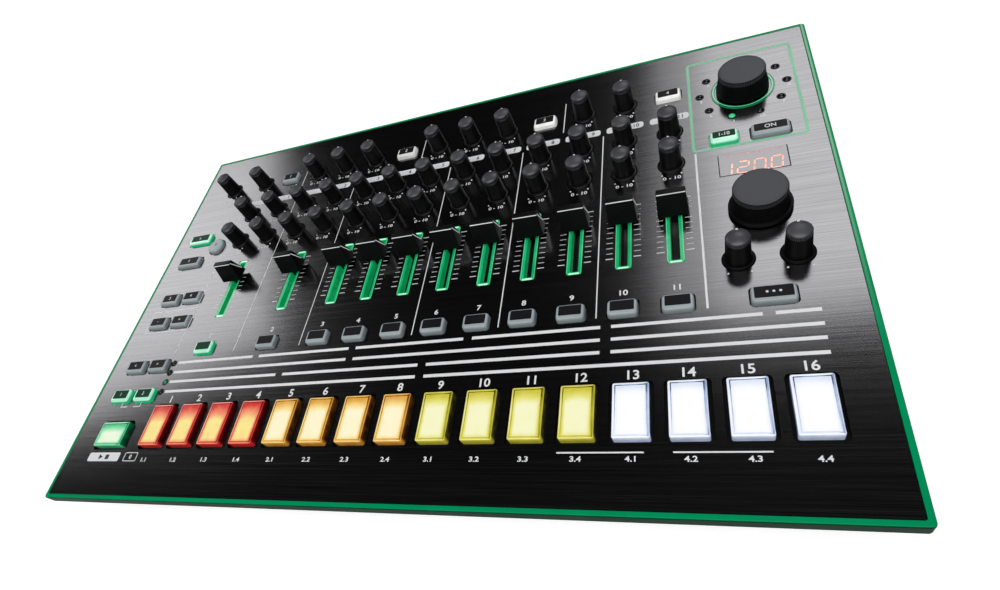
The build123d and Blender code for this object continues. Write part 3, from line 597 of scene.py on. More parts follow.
def add_figures(mesh, text, x, y, height, top, weight, material=0, bottom=0.0, wide=1.0):
    """Text as a thin plate, centred at (x, y)."""
    curve = bpy.data.curves.new("figures", "FONT")
    curve.body = text
    curve.size = height * 1.37
    curve.offset = weight
    curve.align_x = "CENTER"
    curve.align_y = "CENTER"
    curve.resolution_u = 3
    holder = bpy.data.objects.new("figures", curve)
    flat = bpy.data.meshes.new_from_object(holder)
    lows = [v.co.y for v in flat.vertices]
    middle = (min(lows) + max(lows)) / 2.0
    sheet = bmesh.new()
    sheet.from_mesh(flat)
    bmesh.ops.remove_doubles(sheet, verts=sheet.verts[:], dist=1e-5)
    grown = bmesh.ops.extrude_face_region(sheet, geom=sheet.faces[:])
    for part in grown["geom"]:
        if isinstance(part, bmesh.types.BMVert):
            part.co.z = top - bottom
    for vert in sheet.verts:
        vert.co = Vector((vert.co.x * wide + x, vert.co.y - middle + y, vert.co.z + bottom))
    bmesh.ops.recalc_face_normals(sheet, faces=sheet.faces[:])
    for face in sheet.faces:
        face.material_index = material
    sheet.to_mesh(flat)
    sheet.free()
    mesh.from_mesh(flat)
    bpy.data.objects.remove(holder)
    bpy.data.curves.remove(curve)
    bpy.data.meshes.remove(flat)


def finish_piece(mesh, name, body, materials, replaced=(), smooth=35.0, place=PANEL):
    """Turns a mesh in millimetres into a piece in the shared frame, hangs it on its body and hides the
    imported nodes it replaces.
    """
    bmesh.ops.transform(mesh, matrix=place, verts=mesh.verts[:])
    bmesh.ops.recalc_face_normals(mesh, faces=mesh.faces[:])
    data = bpy.data.meshes.new(name)
    mesh.to_mesh(data)
    mesh.free()
    for face in data.polygons:
        face.use_smooth = True
    data.set_sharp_from_angle(angle=math.radians(smooth))
    for material in materials:
        data.materials.append(material)
    piece = bpy.data.objects.new(name, data)
    bpy.context.scene.collection.objects.link(piece)
    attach(piece, body)
    if replaced:
        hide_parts(*replaced)


def paint_node(node, finish):
    """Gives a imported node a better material, leaving its mesh alone."""
    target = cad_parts[node]
    if not target.material_slots:
        target.data.materials.append(finish)
    for holder in target.material_slots:
        holder.link = "OBJECT"
        holder.material = finish


# ---- patterns in geometry nodes


def new_pattern(name, **sizes):
    """A geometry node group with a named input for each size and for the material, and its inputs."""
    tree = bpy.data.node_groups.new(name, "GeometryNodeTree")
    new_socket = tree.interface.new_socket
    new_socket("Geometry", in_out="INPUT", socket_type="NodeSocketGeometry")
    for label, size in sizes.items():
        kind = "NodeSocketInt" if isinstance(size, int) else "NodeSocketFloat"
        new_socket(label, in_out="INPUT", socket_type=kind).default_value = size
    new_socket("Material", in_out="INPUT", socket_type="NodeSocketMaterial")
    new_socket("Geometry", in_out="OUTPUT", socket_type="NodeSocketGeometry")
    return tree, add_node(tree, "NodeGroupInput").outputs


def put_on(tree, points, instance, **more):
    """Instances of a shape on points."""
    sockets = {"Points": points, "Instance": instance, **more}
    return add_node(tree, "GeometryNodeInstanceOnPoints", sockets).outputs["Instances"]


def end_pattern(tree, given, instances):
    """Realizes the instances, sets the material and gives back the tree."""
    real = add_node(tree, "GeometryNodeRealizeInstances", {"Geometry": instances}).outputs["Geometry"]
    paint = add_node(tree, "GeometryNodeSetMaterial", {"Geometry": real, "Material": given["Material"]})
    add_node(tree, "NodeGroupOutput", {"Geometry": paint.outputs["Geometry"]})
    return tree


def block(tree, x, y, z):
    """A block with its sides from three sockets."""
    size = add_node(tree, "ShaderNodeCombineXYZ", {"X": x, "Y": y, "Z": z}).outputs["Vector"]
    return add_node(tree, "GeometryNodeMeshCube", {"Size": size}).outputs["Mesh"]


def ribs_pattern():
    """Ribs standing in a ring, one ring on each point."""
    tree, given = new_pattern("rim ribs", Count=44, Radius=4.6, Depth=0.2, Width=0.3, Height=2.0)
    ring = add_node(tree, "GeometryNodeMeshCircle", {"Vertices": given["Count"], "Radius": given["Radius"]})
    rib = block(tree, given["Depth"], given["Width"], given["Height"])
    out = {"Vector": add_node(tree, "GeometryNodeInputPosition").outputs["Position"]}
    turn = add_node(tree, "FunctionNodeAlignRotationToVector", out, axis="X", pivot_axis="Z")
    ribs = put_on(tree, ring.outputs["Mesh"], rib, Rotation=turn.outputs["Rotation"])
    return end_pattern(tree, given, put_on(tree, given["Geometry"], ribs))


def ladder_pattern():
    """Short bars in a row along Y, one row on each point."""
    tree, given = new_pattern("tick ladder", Count=11, Pitch=3.2, Length=3.4, Width=0.4, Height=0.1)
    step = add_node(tree, "ShaderNodeCombineXYZ", {"Y": given["Pitch"]}).outputs["Vector"]
    row = add_node(tree, "GeometryNodeMeshLine", {"Count": given["Count"], "Offset": step}, mode="OFFSET")
    bar = block(tree, given["Length"], given["Width"], given["Height"])
    bars = put_on(tree, row.outputs["Mesh"], bar)
    return end_pattern(tree, given, put_on(tree, given["Geometry"], bars))


def dots_pattern():
    """A flat round dot on each point."""
    tree, given = new_pattern("round dots", Radius=0.4, Height=0.1, Sides=14)
    sockets = {"Vertices": given["Sides"], "Radius": given["Radius"], "Depth": given["Height"]}
    dot = add_node(tree, "GeometryNodeMeshCylinder", sockets).outputs["Mesh"]
    return end_pattern(tree, given, put_on(tree, given["Geometry"], dot))


def add_pattern(mesh, tree, points, **values):
    """Runs a pattern over points and adds what it makes to the mesh."""
    data = bpy.data.meshes.new("pattern_points")
    data.from_pydata([Vector(p) for p in points], [], [])
    holder = bpy.data.objects.new("pattern", data)
    bpy.context.scene.collection.objects.link(holder)
    modifier = holder.modifiers.new("pattern", "NODES")
    modifier.node_group = tree
    sockets = {item.name: item.identifier for item in tree.interface.items_tree if item.in_out == "INPUT"}
    for label, value in values.items():
        modifier[sockets[label]] = value
    graph = bpy.context.evaluated_depsgraph_get()
    result = bpy.data.meshes.new_from_object(holder.evaluated_get(graph), depsgraph=graph)
    holder.modifiers.remove(modifier)
    bpy.data.objects.remove(holder)
    bpy.data.meshes.remove(data)
    mesh.from_mesh(result)
    bpy.data.meshes.remove(result)


# ---- pads


def pad_light(part, u, v, fade):
    """How brightly a pad glows at u, v from -1 to 1 across and along it, dimmer over a share of its rear; the
    field is the pad's own glow, while rim, seam and wall carry painted highlights and painted shade.
    """
    if part == "field":
        rear = min(1.0, max(0.0, (1.0 - v) / fade - 0.20 * u * u))
        side = min(1.0, 0.62 + (1.0 - abs(u)) * 1.9)
        front = min(1.0, 0.78 + (1.0 + v) * 1.4)
        return min(0.42 + 0.58 * rear ** 1.2, side, front)
    # rim: painted highlights on the left, front and rear, painted shade on the right
    if part == "rim":
        if v > 0.9 and abs(u) < 0.93:
            return 0.50
        if v < -0.9 and abs(u) < 0.93:
            return 0.56
        middle = 1.0 - abs(v + 0.1) ** 1.5
        return (0.46 + 0.30 * middle) if u < 0 else (0.16 + 0.16 * middle)
    # seam: a painted shadow line, black at the rear corners
    if part == "seam":
        if v > 0.9:
            return 0.0 if abs(u) > 0.55 else 0.14
        if abs(u) > 0.8:
            return 0.0 if v > 0.6 else 0.16 + 0.16 * (0.6 - v)
        return 0.36
    # wall: painted highlight at the front, painted shade on the right
    if v < -0.9:
        return 0.40
    return 0.06 if u > 0.9 else 0.28


def add_pad(mesh, x, y, width, depth, rise, fade):
    """Clear cap with thick walls round a lit field, its glow from the painted shade of the seam to the bright
    centre, with painted highlights and shade on rim and walls.
    """
    layer = mesh.verts.layers.float.get("glow_and_painted_light")
    reach_x, reach_y = width / 2 + 2.4, depth / 2 + 2.4
    add_bar(mesh, x - reach_x, x + reach_x, y - reach_y, y + reach_y, -3.1, -2.1, 1)
    rings = (                   # inset, height, what the ring edges and its painted edge tone: painted highlight near the top, painted shade at the foot
        (0.0, -3.0, "wall", -0.16),
        (0.0, -0.4, "wall", -0.10),
        (0.0, rise - 0.42, "wall", 0.0),
        (0.06, rise - 0.26, "wall", 0.14),
        (0.28, rise - 0.04, "rim", 0.24),
        (0.42, rise, "rim", 0.0),
        (0.90, rise, "rim", 0.0),
        (0.98, rise - 0.08, "seam", 0.0),
        (1.28, rise - 0.08, "seam", 0.0),
        (1.36, rise, "field", 0.0),
    )
    outlines = []
    for inset, z, _, _ in rings:
        corner = max(0.75 - inset * 0.5, 0.12)
        points = rounded_outline(x, y, width - 2 * inset, depth - 2 * inset, corner, 3, (6, 14))
        outlines.append((points, z))
    loops = add_rings(mesh, outlines, 0, close_low=True, close_high=False)
    for loop, (inset, _, part, painted_edge_tone) in zip(loops, rings):
        for vert in loop:
            u = (vert.co.x - x) / (width / 2 - inset)
            v = (vert.co.y - y) / (depth / 2 - inset)
            vert[layer] = max(0.0, pad_light(part, u, v, fade) + painted_edge_tone)
    inset = rings[-1][0] + 0.25
    columns, rows = 12, 22
    grid = []
    for row in range(rows + 1):
        line = []
        for column in range(columns + 1):
            u, v = 2.0 * column / columns - 1.0, 2.0 * row / rows - 1.0
            vert = mesh.verts.new((x + u * (width / 2 - inset), y + v * (depth / 2 - inset), rise))
            vert[layer] = pad_light("field", u, v, fade)
            line.append(vert)
        grid.append(line)
    for low, high in zip(grid, grid[1:]):
        for i in range(columns):
            mesh.faces.new((low[i], low[i + 1], high[i + 1], high[i]))
    right = [line[-1] for line in grid[:-1]]
    left = [line[0] for line in grid[:0:-1]]
    edge = grid[0][:-1] + right + grid[-1][:0:-1] + left
    bmesh.ops.bridge_loops(mesh, edges=ring_edges(mesh, edge) + ring_edges(mesh, loops[-1]))


def ring_edges(mesh, loop):
    """The edges of a closed loop of vertices."""
    return [mesh.edges.get(pair) or mesh.edges.new(pair) for pair in zip(loop, loop[1:] + loop[:1])]


def make_pads():
    """Sixteen step pads in four colours, and the start pad."""
    sizes = settings().controls
    width, depth, rise = mm(sizes.pad_width), mm(sizes.pad_length), mm(sizes.pad_rise)
    flange = moulded("pad_flange", (0.006, 0.006, 0.007), 0.7, shine=0.1)
    for number, (name, (tones, fade)) in enumerate(PAD_COLOURS.items()):
        finishes = [lit_cap(f"pad_{name}", tones, 0.55), flange]
        mesh = glow_mesh()
        if name == "green":
            add_pad(mesh, *START_PAD_AT, mm(sizes.start_width), mm(sizes.start_length), rise, fade)
            finish_piece(mesh, "start_pad_cap", "start_pad", finishes, ["start_pad"])
            continue
        for i in range(4 * number, 4 * number + 4):
            add_pad(mesh, pad_x(i), PAD_ROW_Y, width, depth, rise, fade)
        finish_piece(mesh, f"{name}_pad_caps", f"{name}_pads", finishes, [f"{name}_pads"])


# ---- keys


def add_key(mesh, x, y, kind, rise, lit=SILICONE):
    """Soft rubber key with a rounded top edge and a legend patch, or a round one without a patch."""
    width, patch = kind

    def outline(inset):
        if patch is None:
            return circle_outline(x, y, width / 2.0 - inset, 36)
        corner = max(1.8 - inset * 0.6, 0.5)
        return rounded_outline(x, y, width - 2 * inset, KEY_DEPTH - 2 * inset, corner)

    rings = [(outline(0.0), -3.0), (outline(0.0), -0.6), (outline(0.15), rise - 1.2)]
    for i in range(1, 6):
        turn = math.radians(18.0 * i)
        rings.append((outline(0.15 + 1.0 * (1.0 - math.cos(turn))), rise - 1.2 + 1.2 * math.sin(turn)))
    add_rings(mesh, rings, lit, close_low=True, glow_and_painted_light=KEY_GLOW)
    if patch:
        wide, deep, shift = patch
        points = rounded_outline(x, y + shift, wide, deep, 0.5, 3)
        add_slab(mesh, points, rise - 0.1, rise + 0.06, GREEN_PATCH if lit == GREEN else PATCH)
    if lit == GREEN:
        add_hoop(mesh, outline(-0.3), outline(0.1), -2.0, -0.05, LIT_GAP)


def make_keys():
    """Eleven voice keys and eighteen function keys."""
    rise = mm(settings().controls.key_rise)
    small = mm(settings().printing.small_figure)
    finishes = [
        moulded("key_silicone", settings().colours.key[:], 0.42, 900.0, 0.00002, 0.10, coat=0.25),
        lit_cap("key_green", LIT_KEY_TONES, 0.45),
        glowing("key_white", (0.72, 0.72, 0.68), 0.35, (0.92, 0.92, 0.88)),
        moulded("key_patch", (0.010, 0.009, 0.011), 0.45, 2200.0, 0.00001, 0.2, shine=0.15),
        moulded("key_patch_green", (0.003, 0.045, 0.024), 0.45, 2200.0, 0.00001, 0.2, shine=0.15),
        moulded("key_legend", (0.80, 0.82, 0.83), 0.5, 2500.0, 0.00001, 0.08),
        glowing("key_gap_lit", (0.0, 0.45, 0.16), 0.5),
    ]
    mesh = glow_mesh()
    for number, k in enumerate(FADER_COLUMNS):
        add_key(mesh, column_x(k), VOICE_KEY_Y, STEP_KEY, rise, SILICONE if number else GREEN)
    finish_piece(mesh, "voice_key_caps", "voice_keys", finishes, ["voice_keys"])

    mesh = glow_mesh()
    top = rise + 0.10

    def add_marked_key(x, y, kind, lit, label, size, weight=0.04):
        add_key(mesh, x, y, kind, rise, lit)
        add_figures(mesh, label, x, y + kind[1][2], size, top, weight, LEGEND)

    for number, k in enumerate(STEP_KEY_COLUMNS):
        lit = WHITE if number else SILICONE
        add_marked_key(column_x(k), TOP_ROW_Y, STEP_KEY, lit, str(number + 1), small)
    for row, (y, labels) in enumerate(zip(PAIR_ROWS, ("12", "<>", "-+", "34"))):
        for x, label in zip(PAIR_COLUMNS, labels):
            add_marked_key(x, y, PAIR_KEY, SILICONE if row else GREEN, label, small * 0.9)
    for (x, y), lit, label in zip(WIDE_KEYS_AT, (SILICONE, GREEN), "56"):
        add_marked_key(x, y, WIDE_KEY, lit, label, small * 0.9)
    x, y = ROUND_KEY_AT
    add_key(mesh, x, y, ROUND_KEY, rise)
    add_figures(mesh, "0", x, y + 1.0, small, rise + 0.04, 0.04, PATCH)
    x, y = TAP_KEY_AT
    add_key(mesh, x, y, TAP_KEY, rise)
    for i in (-1, 0, 1):
        add_slab(mesh, circle_outline(x + 2.4 * i, y + 0.5, 0.55, 14), rise, top, LEGEND)
    add_marked_key(*DEPTH_KEY_AT, DEPTH_KEY, GREEN, "1-10", small * 0.9, 0.06)
    add_marked_key(*ON_KEY_AT, ON_KEY, SILICONE, "ON", small, 0.06)
    finish_piece(mesh, "function_key_caps", "function_keys", finishes, ["function_keys"])


# ---- knobs and dials


def knob_nodes():
    """Each knob's node with its place on the panel and whether it is a medium one."""
    knobs = {"volume_knob": (VOLUME_X, TOP_ROW_Y), "accent_knob": (column_x(0), TOP_ROW_Y)}
    for name, columns in (("reverb", (2, 3, 4)), ("delay", (6, 7, 8)), ("input", (10, 11))):
        for number, k in enumerate(columns):
            knobs[f"{name}_knob_{number + 1}"] = (column_x(k), TOP_ROW_Y)
    for k in range(COLUMN_COUNT):
        knobs[f"rear_tone_knob_{k + 1:02d}"] = (column_x(k), REAR_TONE_Y)
        knobs[f"front_tone_knob_{k + 1:02d}"] = (column_x(k), FRONT_TONE_Y)
    found = {name: (place, False) for name, place in knobs.items()}
    found["shuffle_knob"] = (MEDIUM_KNOBS_AT[0], True)
    found["fine_tempo_knob"] = (MEDIUM_KNOBS_AT[1], True)
    return found


def knob_shape(pattern, finishes, top, base, skirt, height, dome):
    """A tapered knob at the panel's corner: skirt, body, ribbed rim, dome and pointer."""
    sizes = settings().controls
    rim = height - dome
    profile = [
        (skirt - 0.15, -1.0),
        (skirt, -0.85),
        (skirt, 0.1),
        (skirt - 0.2, 0.3),
        (base + 0.3, 0.3),
        (base - 0.02, 0.5),
        (top + 0.10, rim - 2.15),
        (top - 0.02, rim - 2.0),
        (top - 0.14, rim - 1.9),
        (top - 0.14, rim - 0.12),
        (top - 0.30, rim + 0.02),
    ]
    materials = [0] * (len(profile) - 1)
    # the dome takes the second finish, lighter grey for a painted sheen
    for i in range(1, 9):
        radius = (top - 0.30) * (1.0 - i / 8.0)
        profile.append((radius, rim + 0.02 + (dome - 0.02) * (1.0 - (radius / top) ** 2)))
        materials.append(1)
    mesh = bmesh.new()
    add_lathe(mesh, 0.0, 0.0, profile, materials)
    add_slab(mesh, circle_outline(0.0, top - 0.95, 0.50, 16), rim, rim + dome * 0.36 + 0.14, 2)
    add_pattern(
        mesh,
        pattern,
        [(0.0, 0.0, rim - 0.95)],
        Count=sizes.knob_ribs,
        Radius=top - 0.14,
        Depth=2.0 * mm(sizes.rib_depth),
        Width=math.pi * top / sizes.knob_ribs,
        Height=1.75,
        Material=finishes[0],
    )
    return mesh


def make_knobs():
    """Thirty-eight tapered knobs, each riding on its own body."""
    colours = settings().colours
    black = moulded("knob_black", colours.knob[:], 0.38, 2600.0, 0.000012, 0.25, shine=0.30)
    # a darker copy of the knob black for the medium knobs: painted shade
    deep = moulded("knob_black_painted_shade", shaded(colours.knob[:], 0.8), 0.45, 2600.0, 0.000012, 0.25, shine=0.12)
    # painted sheen: the domes are lighter than the knobs' sides
    dome = moulded("knob_dome_painted_sheen", colours.knob_top_painted_sheen[:], 0.42, 3200.0, 0.00002, 0.12, shine=0.6)
    pointer = moulded("pointer_white", (0.85, 0.85, 0.85), 0.4, 3000.0, 0.00001, 0.05)
    pattern = ribs_pattern()
    shapes = [knob_shape(pattern, [black], **kind) for kind in (SMALL_KNOB, MEDIUM_KNOB)]
    for node, ((x, y), medium) in knob_nodes().items():
        mesh = shapes[medium].copy()
        bmesh.ops.translate(mesh, vec=(x, y, 0.0), verts=mesh.verts[:])
        finishes = [deep if medium else black, dome, pointer]
        finish_piece(mesh, f"{node}_cap", node, finishes, [node])
    for shape in shapes:
        shape.free()


def make_dials():
    """The effect dial and the tempo dial: flared, with a finely ribbed rim and a flat grained top."""
    colours = settings().colours
    sizes = settings().controls
    finishes = [
        moulded("dial_black", colours.knob[:], 0.45, 2600.0, 0.000012, 0.25, shine=0.12),
        # painted sheen: the dial's top is lighter than its sides
        moulded("dial_top_painted_sheen", colours.knob_top_painted_sheen[:], 0.50, 2800.0, 0.00005, 0.18),
    ]
    pattern = ribs_pattern()
    top = DIAL_TOP
    for node, (x, y), dial in (
        ("effect_dial", EFFECT_DIAL_AT, EFFECT_DIAL), ("tempo_dial", TEMPO_DIAL_AT, TEMPO_DIAL)
    ):
        base, height, flange = dial["base"], dial["height"], dial["flange"]
        profile = [(base - 0.3, 0.6), (base, 0.8)]
        if flange:
            profile = [(flange - 0.2, 0.6), (flange, 0.8), (flange, 1.9), (flange - 0.3, 2.2), (base, 2.3)]
        profile += [
            (base - 0.25, 2.9),
            (top + 0.35, height * 0.55),
            (top + 0.02, height - 2.5),
            (top - 0.10, height - 2.4),
            (top - 0.10, height - 0.55),
            (top - 0.28, height - 0.18),
            (top - 0.62, height - 0.02),
        ]
        bands = [0] * (len(profile) - 2) + [1] * 9
        for i in range(1, 9):
            profile.append(((top - 0.62) * (1.0 - i / 8.0), height))
        mesh = bmesh.new()
        add_lathe(mesh, 0.0, 0.0, profile, bands, 96)
        add_pattern(
            mesh,
            pattern,
            [(0.0, 0.0, height - 1.45)],
            Count=sizes.dial_ribs,
            Radius=top - 0.10,
            Depth=1.5 * mm(sizes.rib_depth),
            Width=math.pi * top / sizes.dial_ribs,
            Height=1.8,
            Material=finishes[0],
        )
        bmesh.ops.translate(mesh, vec=(x, y, 0.0), verts=mesh.verts[:])
        finish_piece(mesh, f"{node}_cap", node, finishes, [node])


# ---- faders


def cap_side(down):
    """Half width and height of a fader cap, from its top edge (0) to its foot (1)."""
    low, high = CAP_SPAN
    return CAP_TOP[0] + (CAP_FOOT[0] - CAP_TOP[0]) * down, high - (high - low) * down


def on_slope(side, down):
    """A point on a fader cap's front face, at a share of its half width."""
    half, z = cap_side(down)
    return Vector((side * half, CAP_TOP[1] - CAP_FRONT_RUN * down, z))


def on_side(y, down):
    """A point on a fader cap's right face."""
    half, z = cap_side(down)
    return Vector((half, y, z))


def add_fader_cap(mesh, x, y):
    """Wedge with bevelled edges, its stem, and a glowing pale line: the indicator line along the front top
    edge with painted glow, and a painted highlight down the right face.
    """
    half, deep = CAP_FOOT
    high_half, front_y, rear_y = CAP_TOP
    base = [(-half, -deep), (half, -deep), (half, deep), (-half, deep)]
    top = [(-high_half, front_y), (high_half, front_y), (high_half, rear_y), (-high_half, rear_y)]
    rings = [([(x + px, y + py) for px, py in points], z) for points, z in zip((base, top), CAP_SPAN)]
    before = set(mesh.edges)
    add_rings(mesh, rings, 0, close_low=True)
    fresh = [edge for edge in mesh.edges if edge not in before]
    bmesh.ops.bevel(mesh, geom=fresh, offset=CAP_BEVEL, segments=3, profile=0.6, affect="EDGES")
    add_bar(mesh, x - 1.5, x + 1.5, y - 2.5, y + 2.5, -4.0, 2.1, 0)
    front, right = Vector((0.0, -0.958, 0.287)), Vector((0.999, 0.0, 0.046))
    here = Vector((x, y, 0.0))
    # front band: pale indicator line with painted glow; right band: painted highlight down the right edge
    bands = (
        (
            front,
            on_slope(-0.965, 0.03),
            on_slope(0.965, 0.03),
            on_slope(0.965, 0.068),
            on_slope(-0.965, 0.068),
        ),
        (right, on_side(-0.8, 0.035), on_side(-0.3, 0.035), on_side(3.45, 0.75), on_side(3.0, 0.75)),
    )
    for out, *corners in bands:
        low = [mesh.verts.new(here + corner - out * 0.15) for corner in corners]
        high = [mesh.verts.new(here + corner + out * 0.035) for corner in corners]
        sides = [(low[i], low[i - 3], high[i - 3], high[i]) for i in range(4)]
        band = [mesh.faces.new(face) for face in (high, list(reversed(low)), *sides)]
        for face in band:
            face.material_index = 1
        bmesh.ops.recalc_face_normals(mesh, faces=band)


def make_faders():
    """Eleven fader caps, the lit frames of their slots and the lit ring of the effect dial, with painted
    highlights and shade on frames and ring.
    """
    colours = settings().colours
    finishes = [
        moulded("fader_black", shaded(colours.knob[:], 0.9), 0.42, 2400.0, 0.000015, 0.2, shine=0.2),
        # painted glow on the caps' pale line, and painted highlight down their right edge
        glowing("fader_line_and_painted_highlight", (0.74, 0.79, 0.80), 0.42),
    ]
    mesh = bmesh.new()
    for k in FADER_COLUMNS:
        add_fader_cap(mesh, column_x(k), FADER_REST_Y)
    finish_piece(mesh, "fader_caps", "faders", finishes, ["faders"], smooth=50.0)

    glows = [
        # guide_edge_painted_highlight and guide_end_painted_highlight are painted highlights drawn as glow;
        # guide_shade is painted shade on the ring
        glowing("guide_edge_painted_highlight", (0.10, 0.62, 0.30), 0.45),
        glowing("guide_end_painted_highlight", (0.45, 0.86, 0.62), 0.60),
        glowing("guide_shade", (0.0, 0.13, 0.055), 0.12),
        glowing("guide_green", colours.green_glow[:], 0.30, (0.01, 0.50, 0.18)),
    ]
    edge, end, shade, green = range(4)
    mesh = bmesh.new()
    middle = sum(FADER_SLOT) / 2.0
    for k in FADER_COLUMNS:
        x = column_x(k)
        outer = rounded_outline(x, middle, 7.2, 43.4, 1.9, 6)
        add_hoop(mesh, outer, rounded_outline(x, middle, 3.9, 40.1, 0.5, 6), -7.0, -0.25, green)
        # painted highlight line round each frame's rim
        add_hoop(mesh, outer, rounded_outline(x, middle, 6.6, 42.8, 1.6, 6), -0.6, -0.12, edge)
        # painted highlights at both ends of each slot
        for y in (FADER_SLOT[0] + 0.75, FADER_SLOT[1] - 0.75):
            add_slab(mesh, rounded_outline(x, y, 5.0, 0.8, 0.38, 4), -0.5, -0.10, end)
    # the ring: painted shade either side of a painted highlight line
    for outer, inner, low, high, material in (
        (14.95, 13.25, -1.2, 0.30, green),
        (14.93, 14.15, 0.1, 0.34, shade),
        (14.15, 13.65, 0.1, 0.36, edge),
        (13.65, 13.27, 0.1, 0.34, shade),
    ):
        rim, hole = circle_outline(*EFFECT_DIAL_AT, outer, 96), circle_outline(*EFFECT_DIAL_AT, inner, 96)
        add_hoop(mesh, rim, hole, low, high, material)
    finish_piece(mesh, "lit_guides", "chassis", glows, ["light_guides"])


# ---- display and lamps


def add_digit(mesh, x, y, figure, top):
    """One slanted seven-segment figure."""
    half = DIGIT_HEIGHT / 2.0
    wide = DIGIT_HEIGHT * 0.31
    thick = SEGMENT / 2
    reach = half / 2 - 0.3
    flat = [(-wide + 0.45, 0), (-wide + 0.8, thick), (wide - 0.8, thick), (wide - 0.45, 0),
            (wide - 0.8, -thick), (-wide + 0.8, -thick)]
    upright = [(0, -reach), (thick, -reach + 0.35), (thick, reach - 0.35), (0, reach),
               (-thick, reach - 0.35), (-thick, -reach + 0.35)]
    places = {
        "a": (flat, 0, half), "g": (flat, 0, 0.0), "d": (flat, 0, -half),
        "f": (upright, -wide, half / 2), "b": (upright, wide, half / 2),
        "e": (upright, -wide, -half / 2), "c": (upright, wide, -half / 2),
    }
    for name in SEGMENTS[figure]:
        shape, cx, cy = places[name]
        slanted = [(x + (px + cx) + DIGIT_LEAN * (py + cy), y + (py + cy)) for px, py in shape]
        add_slab(mesh, slanted, top - 0.12, top, 0)


def make_display():
    """Mirror-like window, the dark gap round it, its lit figures and the dashed line over them."""
    digits = settings().colours.digits[:]
    window = moulded("display_window", (0.185, 0.180, 0.186), 0.11, 3000.0, 0.000002, 0.03, metal=1.0)
    paint_node("display", window)
    finishes = [
        glowing("display_digits", digits, 0.80, (1.0, 0.42, 0.28)),
        glowing("display_stripe", shaded(digits, 0.7), 0.35),
        moulded("display_gap", (0.004, 0.004, 0.004), 0.5, 3000.0, 0.000004, 0.1, shine=0.1),
    ]
    mesh = bmesh.new()
    top = 0.03
    low = top - 0.12
    cx, cy = DISPLAY_AT
    for number, figure in enumerate("1200"):
        add_digit(mesh, cx - 11.6 + DIGIT_PITCH * number, cy - 2.8, figure, top)
    add_slab(mesh, circle_outline(cx + 5.6, cy - 6.1, 0.4, 12), low, top, 0)
    for i in range(7):
        x = cx - 11.3 + 3.5 * i
        add_bar(mesh, x, x + 3.1, cy + 5.8, cy + 6.15, low, top, 1)
    for x0, x1, y0, y1 in WINDOW_GAPS:
        add_bar(mesh, cx + x0, cx + x1, cy + y0, cy + y1, -0.1, top + 0.01, 2)
    finish_piece(mesh, "display_figures", "chassis", finishes)


def make_lamps():
    """Row lamps and dial lamps: dark domed lenses in thin collars, one of each kind lit."""
    finishes = [
        moulded("lamp_dark", (0.004, 0.005, 0.005), 0.08, 1500.0, 0.000004, 0.2, shine=0.6),
        glowing("lamp_lit", settings().colours.green_glow[:], 0.55, (0.06, 0.62, 0.24)),
        moulded("lamp_collar", (0.004, 0.004, 0.004), 0.4, 2000.0, 0.00001, 0.2, shine=0.2),
        glowing("lamp_low", (0.0, 0.20, 0.075), 0.30),
    ]
    dark, bright, collar, low = range(4)
    lenses = {LIT_ROW_LAMP: low, len(ROW_LAMPS_AT) + LIT_DIAL_LAMP: bright}
    places = [(x, y, 1.95) for x, y in ROW_LAMPS_AT]
    places += [(*dial_lamp_at(i), 2.05) for i in range(DIAL_LAMPS)]
    mesh = bmesh.new()
    for number, (x, y, radius) in enumerate(places):
        profile = [(radius - 0.45, -2.0), (radius - 0.45, -0.1)]
        for i in range(7):
            turn = math.radians(15.0 * i)
            profile.append(((radius - 0.48) * math.cos(turn) + 0.001, -0.1 + 0.95 * math.sin(turn)))
        add_lathe(mesh, x, y, profile, lenses.get(number, dark), 24)
        outer, inner = circle_outline(x, y, radius + 0.1, 24), circle_outline(x, y, radius - 0.5, 24)
        add_hoop(mesh, outer, inner, -1.5, 0.12, collar)
    finish_piece(mesh, "lamp_caps", "chassis", finishes, ["lamp_lenses"])


# ---- housing


def socket_finish(x, y, z):
    """Finish of a face of the rear sockets, from its middle in millimetres: 0 black, 1 nickel, 2 pale."""
    rise = z - SOCKET_HEIGHT
    if y < REAR_WALL_Y - 2.6:
        return 1 if any(math.hypot(x - cx, rise) < 3.2 for cx in JACKS_X) else 0
    for places, rim, insert in ((JACKS_X, 8.0, 3.4), (ROUND_SOCKETS_X, 9.0, 6.4)):
        for cx in places:
            away = math.hypot(x - cx, rise)
            if away < rim:
                return 1 if away > insert else 0
    if abs(x - USB_X) < 7.0:
        return 2 if abs(x - USB_X) < 2.9 and abs(rise) < 1.7 else 1
    return 1 if abs(x - INLET_X) < 1.2 and abs(rise) < 1.2 else 0


def make_sockets():
    """The rear sockets' own mesh, with nickel nuts and shells round black inserts."""
    finishes = [
        moulded("socket_black", (0.014, 0.014, 0.015), 0.35, 1800.0, 0.00002, 0.2),
        moulded("socket_nickel", (0.52, 0.50, 0.47), 0.26, 1800.0, 0.00001, 0.12, metal=1.0),
        moulded("socket_pale", (0.60, 0.60, 0.58), 0.45, 1800.0, 0.00001, 0.1),
    ]
    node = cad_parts["rear_sockets"]
    mesh = bmesh.new()
    mesh.from_mesh(node.data)
    bmesh.ops.transform(mesh, matrix=node.matrix_world, verts=mesh.verts[:])
    bmesh.ops.remove_doubles(mesh, verts=mesh.verts[:], dist=1e-6)
    for face in mesh.faces:
        face.material_index = socket_finish(*(face.calc_center_median() * 1000.0))
    still = Matrix.Identity(4)
    finish_piece(mesh, "rear_socket_set", "chassis", finishes, ["rear_sockets"], place=still)


